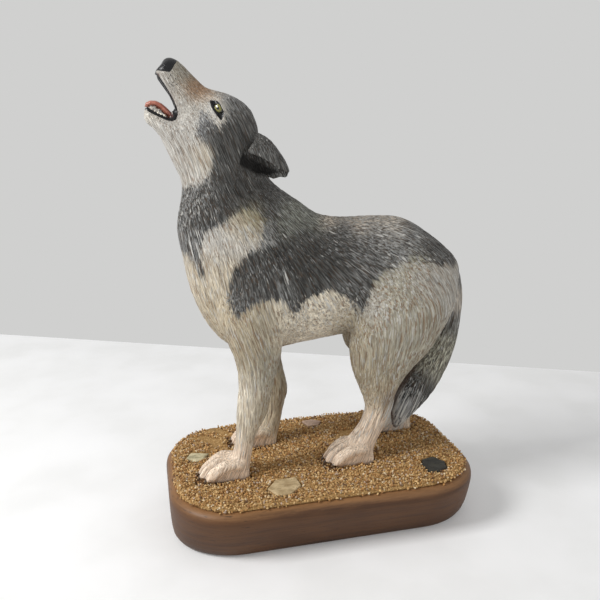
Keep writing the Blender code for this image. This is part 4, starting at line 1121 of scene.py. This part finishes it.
def markCoat(skin):
    points, normals = pointsOf(skin), normalsOf(skin)
    x, y, z = points.T
    offMiddle = np.abs(y - midY)
    along, across = hairPlaces(points)
    # the dabs are placed on the middle of the body and lean forward and up towards its sides
    breadth = np.clip(offMiddle - 2, 0, 18)
    leanX, leanZ = x + breadth * coat["leanX"], z + breadth * coat["leanZ"]
    light, dark = dabPaint(lightDabs, leanX, leanZ), dabPaint(darkDabs, leanX, leanZ)
    brush = dabPaint(tailDabs, x, z)
    # the tail hangs near the middle and swings a little to one side as it comes down
    tail = lineReach(x, z, tailLine)
    swing = coat["tailSwing"] * (112 - z) ** 1.6 * (z < 90)
    tail = np.where(np.abs(y - midY + swing) < coat["tailHalf"], tail, -6)
    clear = step(y, 8.2, 7.2) * np.maximum(step(y, -8.2, -7.2), step(z, 87, 83))
    onTail = step(tail, -0.3, 0.5)[:, None] * clear[:, None]
    dark = dark * (1 - onTail) + brush * onTail
    edge = np.maximum(edgeDistance(x, z, darkOutline), np.where(onTail[:, 0] > 0.5, tail, -6))
    # the ears are dark all over
    onEar = (x > ears["darkFrom"]) & (x < ears["darkTo"]) & (z > ears["darkAbove"]) & (offMiddle > 4)
    edge = np.where(onEar, 6, edge)
    strokes = dabbed(strokeDabs, leanX, leanZ, [dab[3:] for dab in strokeDabs])
    keep(skin, "hair", "FLOAT_VECTOR", np.column_stack([along, across, y]))
    keep(skin, "lightCoat", "FLOAT_COLOR", light)
    keep(skin, "darkCoat", "FLOAT_COLOR", dark)
    keep(skin, "darkEdge", "FLOAT", np.clip(edge, -6, 6))
    for place, name in enumerate(("paleStrokes", "deepStrokes", "rustStrokes")):
        keep(skin, name, "FLOAT", strokes[:, place])
    # black paint on the nose, the lips and the eyes' rims, then what lines the mouth, and painted shade in
    # the ear cups
    lips = np.where(x < -57.0, lipReach(x, z) + face["lipSpread"], -3)
    ink = np.maximum(np.maximum(noseEdge(points), eyeEdge(points) + face["rimWidth"]), lips)
    overLip, overTongue = z - lineHeight(face["lowerLip"], x), z - lineHeight(face["tongue"], x)
    lining = step(overLip, -0.9, -0.3) * step(overTongue, 2.0, 1.0)
    lining *= step(x, -58.2, -59.2) * step(normals[:, 2], 0.2, 0.5)
    facing = normals[:, 0] * 0.86 + normals[:, 2] * 0.5
    roof = step(offMiddle, 3.6, 2.9) * step(lineReach(x, z, face["upperLip"]), -1.8, -1.2)
    roof *= step(x, -57.5, -58.5) * step(z, 196.0, 195.0) * step(facing, -0.2, -0.5)
    keep(skin, "inkEdge", "FLOAT", np.clip(ink, -2, 2))
    # painted shade along the edge of the lower tail where it lies against the leg, kept with the painted
    # shade between the toes
    tailShade = onTail[:, 0] * step(tail, 2.4, 0.6) * step(z, 78, 62)
    keep(skin, "soot", "FLOAT", np.clip(np.maximum(betweenToes(points), tailShade), 0, 1))
    keep(skin, "lining", "FLOAT", np.clip(np.maximum(lining, roof), 0, 1))
    # the ear cups are painted near black: painted shade in the hollow
    outward = normals[:, 1] * np.sign(y - midY) > -0.3
    cup = step(edgeDistance(x, z, ears["hollow"]), -0.2, 0.5) * (offMiddle > 5.5) * outward
    keep(skin, "hollow", "FLOAT", cup)
    keep(skin, "furred", "FLOAT", np.clip(step(z, 29, 38), 0, 1))


def paintedFur():
    material, shader, wire = newMaterial("painted_fur", 0.62, 0.35)

    def painted(name, output="Fac"):
        return wire.node("ShaderNodeAttribute", {"attribute_name": name}, None, output)

    hair = painted("hair", "Vector")

    def strands(length, width, shift):
        return hair.scaled(1 / length, 1 / width, 1 / width, shift)

    def streaks(length, width, shift, low, high):
        return strands(length, width, shift).noise(1.0, 2.0, 0.55).ramp(low, high)

    soft = strands(9.0, 1.3, 5.0).noise(1.0, 3.0, 0.6)
    wisps = strands(13.0, 0.9, 31.0).noise(1.0, 2.0, 0.6)
    hairs = strands(9.0, 0.45, 47.0).noise(1.0, 1.0, 0.5)
    edge = painted("darkEdge")
    isDark = (edge + (wisps - 0.5) * coat["wispReach"]).ramp(-0.5, 0.5) * 0.5
    isDark = isDark + (edge + (hairs - 0.5) * coat["hairReach"]).ramp(-0.5, 0.5) * 0.5
    colour = isDark.mixed(painted("lightCoat", "Color"), painted("darkCoat", "Color"))
    fine = streaks(6.5, 0.5, 3.0, 0.38, 0.62)
    broad = streaks(13.0, 1.1, 8.0, 0.3, 0.7)

    def byPaint(onPale, onDark):
        return isDark * (onDark - onPale) + onPale

    contrast = (fine - 0.5) * byPaint(*coat["fineContrast"])
    value = (broad - 0.5) * coat["broadContrast"] + contrast + coat["gain"]
    colour = colour.node("ShaderNodeVectorMath", {"operation": "SCALE"}, {0: colour, "Scale": value})
    warmth = (1.0 - fine) * byPaint(*coat["fineWarmth"])
    colour = warmth.mixed(colour, coat["warmWash"], "MULTIPLY")
    depth = 0.0
    for density, shift, tone, other, strength, length, width, rarity in coat["layers"]:
        field = strands(length, width, shift).noise(1.0, 1.0, 0.5)
        stroke = (field + painted(density) * 0.33 - rarity).ramp(-0.015, 0.045)
        which = isDark * 0.6 if tone.startswith("pale") else 1.0 - isDark
        paint = which.mixed(coat[tone], coat[other])
        colour = (stroke * strength).mixed(colour, paint)
        depth = stroke * (0.5 if tone.startswith("pale") else -0.5) + depth
    ink, lining, hollow = painted("inkEdge").ramp(-0.07, 0.07), painted("lining"), painted("hollow")
    # painted shade between the toes and along the lower tail's edge
    colour = (painted("soot") * (0.55 + soft * 0.5)).mixed(colour, coat["soot"])
    # painted shade: the ear cups go near black
    colour = (hollow * 0.9).mixed(colour, coat["hollow"])
    colour = lining.mixed(colour, coat["lining"])
    colour = ink.mixed(colour, coat["ink"])
    plug(shader, "Base Color", colour)
    plug(shader, "Roughness", 0.64 - ink * 0.38 - (fine - 0.5) * 0.25 - lining * 0.2)
    calm = (1.0 - ink) * (1.0 - lining) * (painted("furred") * 0.75 + 0.25)
    leather = objectPoint(wire).cells(1.9)
    bumped(shader, (depth * 0.7 + fine * 1.1 + soft * 0.7) * calm + ink * leather * 0.35, 0.28, 0.85)
    return material


skin = wolfSkin()
carve(skin)
markCoat(skin)
ready(skin, paintedFur(), ["wolf"])


def stretched(name, line, around, along):
    # a ball drawn out along a line of (point, half height, half width) in millimetres
    bpy.ops.mesh.primitive_uv_sphere_add(segments=around, ring_count=along, radius=1)
    piece = bpy.context.object
    piece.name = name
    points = np.array([vertex.co for vertex in piece.data.vertices])
    centres = np.array([station[0] for station in line], float)
    shares = np.linspace(0, 1, len(line))
    share = 1 - np.arccos(np.clip(points[:, 2], -1, 1)) / math.pi
    radius = np.hypot(points[:, 0], points[:, 1])
    spread = np.maximum(radius, 1e-6)

    def placeAt(part):
        return np.column_stack([np.interp(part, shares, centres[:, axis]) for axis in range(3)])

    ahead = placeAt(np.minimum(share + 0.02, 1)) - placeAt(np.maximum(share - 0.02, 0))
    ahead /= np.linalg.norm(ahead, axis=1)[:, None]
    sideways = np.cross(ahead, [0, 0, 1.0])
    sideways /= np.maximum(np.linalg.norm(sideways, axis=1), 1e-6)[:, None]
    upward = np.cross(sideways, ahead)
    rounded = np.minimum(1.0, 3.2 * radius)
    tall = np.interp(share, shares, [station[1] for station in line]) * rounded * points[:, 1] / spread
    wide = np.interp(share, shares, [station[2] for station in line]) * rounded * points[:, 0] / spread
    movePoints(piece, placeAt(share) + sideways * wide[:, None] + upward * tall[:, None])
    return piece


# Glass eyes, with a painted iris behind the shine, and a white glint on it that is a painted highlight
glass = {
    "iris": (126, 122, 56), "irisRim": (58, 54, 24), "irisHeart": (168, 158, 84), "ball": (20, 19, 17),
    # glint is a painted highlight on the iris
    "glint": (246, 246, 240), "glintPlace": (-0.32, 0.52), "glintRadius": 0.26,
}


def within(distance, radius, soft):
    # 1 inside the radius, 0 outside it
    return distance.ramp(radius + soft, radius - soft)


def glassEyes():
    material, shader, wire = newMaterial("eye_glass", 0.06, 0.5, coat=1.0, coatRoughness=0.03)
    place = wire.node("ShaderNodeAttribute", {"attribute_name": "gazePlace"}, None, "Vector")
    away = place.node("ShaderNodeVectorMath", {"operation": "LENGTH"}, {0: place}, "Value")
    rays = place.noise(2.4, 3.0, 0.6)
    heart = (away + rays * 0.3).ramp(1.15, 0.55)
    colour = heart.mixed(glass["iris"], glass["irisHeart"])
    iris = face["irisRadius"]
    colour = (away + rays * 0.15).ramp(iris - 0.28, iris).mixed(colour, glass["irisRim"])
    colour = away.ramp(iris, iris + 0.12).mixed(colour, glass["ball"])
    colour = within(away, face["pupilRadius"], 0.05).mixed(colour, glass["ball"])
    # a painted highlight: a white glint painted on the iris
    shine = place.node("ShaderNodeVectorMath", {"operation": "DISTANCE"},
                       {0: place, 1: (*glass["glintPlace"], 0)}, "Value")
    colour = within(shine, glass["glintRadius"], 0.04).mixed(colour, glass["glint"])
    plug(shader, "Base Color", colour)
    for side, name in ((-1, "left"), (1, "right")):
        centre = np.array(eyePlace(side))
        low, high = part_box("eye_" + name)
        bpy.ops.mesh.primitive_uv_sphere_add(segments=64, ring_count=48, radius=(high - low).x / 2,
                                             location=eyePlace(side) * mm)
        ball = bpy.context.object
        ball.name = "eye_glass_" + name
        settle(ball)
        gaze = np.array(face["gaze"]) * (1, -side, 1)
        gaze /= np.linalg.norm(gaze)
        right = np.cross([0, 0, 1.0], gaze)
        right /= np.linalg.norm(right)
        upward = np.cross(gaze, right)
        offset = pointsOf(ball) - centre
        behind = np.where(offset @ gaze < 0, 5.0, 0.0)
        local = np.column_stack([offset @ right * -side, offset @ upward, behind])
        keep(ball, "gazePlace", "FLOAT_VECTOR", local)
        ready(ball, material, ["eye_" + name])


glassEyes()


# Tongue and lower teeth
mouthPaint = {
    # the last tongue colour is painted shade at the back of the mouth
    "tongue": (168, 98, 80), "tongueLit": (190, 122, 102), "tongueShade": (112, 52, 42),
    "tooth": (232, 226, 208), "toothRoot": (150, 126, 96), "grooveDepth": 0.35, "grooveHalf": 0.7,
    # teeth: x and z of the root, of the tip, out from the middle, and radius
    "teeth": [(-68.0, 181.4, -67.0, 183.4, 1.8, 0.66), (-69.0, 181.9, -68.8, 182.9, 0.9, 0.42),
              (-66.3, 180.6, -66.1, 181.8, 2.5, 0.62), (-65.1, 180.1, -64.9, 181.2, 2.9, 0.62),
              (-63.9, 179.6, -63.7, 180.6, 3.2, 0.6), (-62.7, 179.1, -62.5, 180.0, 3.5, 0.55)],
}


def tongueAndTeeth():
    line = [((x, midY, z), tall, wide) for x, z, tall, wide in face["tongue"]]
    tongue = stretched("tongue", line, 28, 40)
    points = pointsOf(tongue)
    groove = np.exp(-((points[:, 1] - midY) / mouthPaint["grooveHalf"]) ** 2)
    points[:, 2] -= mouthPaint["grooveDepth"] * groove * (normalsOf(tongue)[:, 2] > 0.3)
    movePoints(tongue, points)
    material, shader, wire = newMaterial("tongue_paint", 0.3, 0.5, coat=0.4, coatRoughness=0.2)
    where = objectPoint(wire)
    cloud = where.noise(0.5, 3.0)
    colour = cloud.ramp(0.35, 0.65).mixed(mouthPaint["tongue"], mouthPaint["tongueLit"])
    # painted shade: the tongue darkens towards the back of the mouth
    depth = where.node("ShaderNodeSeparateXYZ", None, {0: where}, "X")
    colour = (depth.ramp(-62.5, -59.0) * 0.8).mixed(colour, mouthPaint["tongueShade"])
    plug(shader, "Base Color", colour)
    bumped(shader, where.noise(2.2, 3.0), 0.08)
    ready(tongue, material)
    teeth = []
    for rootX, rootZ, tipX, tipZ, out, radius in mouthPaint["teeth"]:
        for side in (-1, 1):
            root = np.array((rootX, midY + side * out, rootZ))
            tip = np.array((tipX, midY + side * out * 0.92, tipZ))
            line = [(root, radius, radius), (root * 0.55 + tip * 0.45, radius * 0.85, radius * 0.85),
                    (tip, radius * 0.45, radius * 0.45)]
            teeth.append(stretched("tooth", line, 12, 8))
    teeth = joined(teeth, "lower_teeth")
    material, shader, wire = newMaterial("tooth_paint", 0.3, 0.5)
    where = objectPoint(wire)
    stain = where.noise(0.8, 2.0).ramp(0.55, 0.8) * 0.5
    plug(shader, "Base Color", stain.mixed(mouthPaint["tooth"], mouthPaint["toothRoot"]))
    ready(teeth, material)


tongueAndTeeth()


# Dark dots where the whiskers would be
dots = {
    "radius": (0.17, 0.27), "rise": 0.05, "sunk": 0.3, "seed": 3,
    "colour": (44, 40, 38), "worn": (70, 62, 56),
    "muzzle": [(-61.6, 195.4), (-59.6, 194.6), (-61.9, 193.2), (-60.4, 193.5), (-58.7, 192.0),
               (-60.2, 191.7), (-57.7, 193.3), (-59.2, 191.0), (-57.5, 191.1), (-58.8, 190.6),
               (-59.0, 189.5)],
    "chin": [(-64.4, 177.4), (-65.2, 178.5), (-62.9, 176.6)],
}


def whiskerDots(skin):
    faces = [list(polygon.vertices) for polygon in skin.data.polygons]
    tree = BVHTree.FromPolygons(pointsOf(skin).tolist(), faces)
    rng = np.random.default_rng(dots["seed"])
    spots = []
    for x, z in dots["muzzle"] + dots["chin"]:
        for side in (-1, 1):
            place, normal, _, _ = tree.ray_cast(Vector((x, midY + side * 20, z)), Vector((0, -side, 0)))
            if place is None:
                continue
            radius = rng.uniform(*dots["radius"])
            middle = place + normal * (dots["rise"] - radius * dots["sunk"])
            bpy.ops.mesh.primitive_uv_sphere_add(segments=10, ring_count=6, radius=radius * mm,
                                                 location=middle * mm)
            spots.append(bpy.context.object)
    spots = settle(joined(spots, "whisker_dots"))
    material, shader, wire = newMaterial("dot_paint", 0.5, 0.4)
    wear = objectPoint(wire).noise(1.4, 2.0).ramp(0.3, 0.7)
    plug(shader, "Base Color", wear.mixed(dots["colour"], dots["worn"]))
    ready(spots, material)


whiskerDots(skin)


# Four claws on each paw
claws = {
    # ahead of the knuckle, height over the soles, half height, half width
    "line": [(5.9, 4.3, 0.6, 0.6), (7.3, 3.9, 0.8, 0.7), (8.7, 2.8, 0.62, 0.55), (9.7, 1.5, 0.22, 0.22)],
    "dark": (66, 54, 44), "horn": (118, 98, 76),
}


def makeClaws():
    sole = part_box("wolf")[0].z / mm
    made = []
    for heelX, out, length in paws["heels"].values():
        for place in paws["toes"]:
            knuckle = heelX - paws["knuckle"] * length + paws["setback"] * (abs(place) > 1)
            line = []
            for ahead, height, tall, wide in claws["line"]:
                y = midY + out + place * (paws["spread"] + ahead * paws["splay"])
                line.append(((knuckle - ahead, y, sole + height), tall, wide))
            made.append(stretched("claw", line, 12, 12))
    made = joined(made, "claws")
    material, shader, wire = newMaterial("claw_paint", 0.32, 0.5)
    where = objectPoint(wire)
    horn = where.noise(0.9, 3.0).ramp(0.35, 0.7)
    plug(shader, "Base Color", horn.mixed(claws["dark"], claws["horn"]))
    bumped(shader, where.noise(2.5, 2.0), 0.08)
    ready(made, material)


makeClaws()
print("eyes, mouth, dots and claws are made")
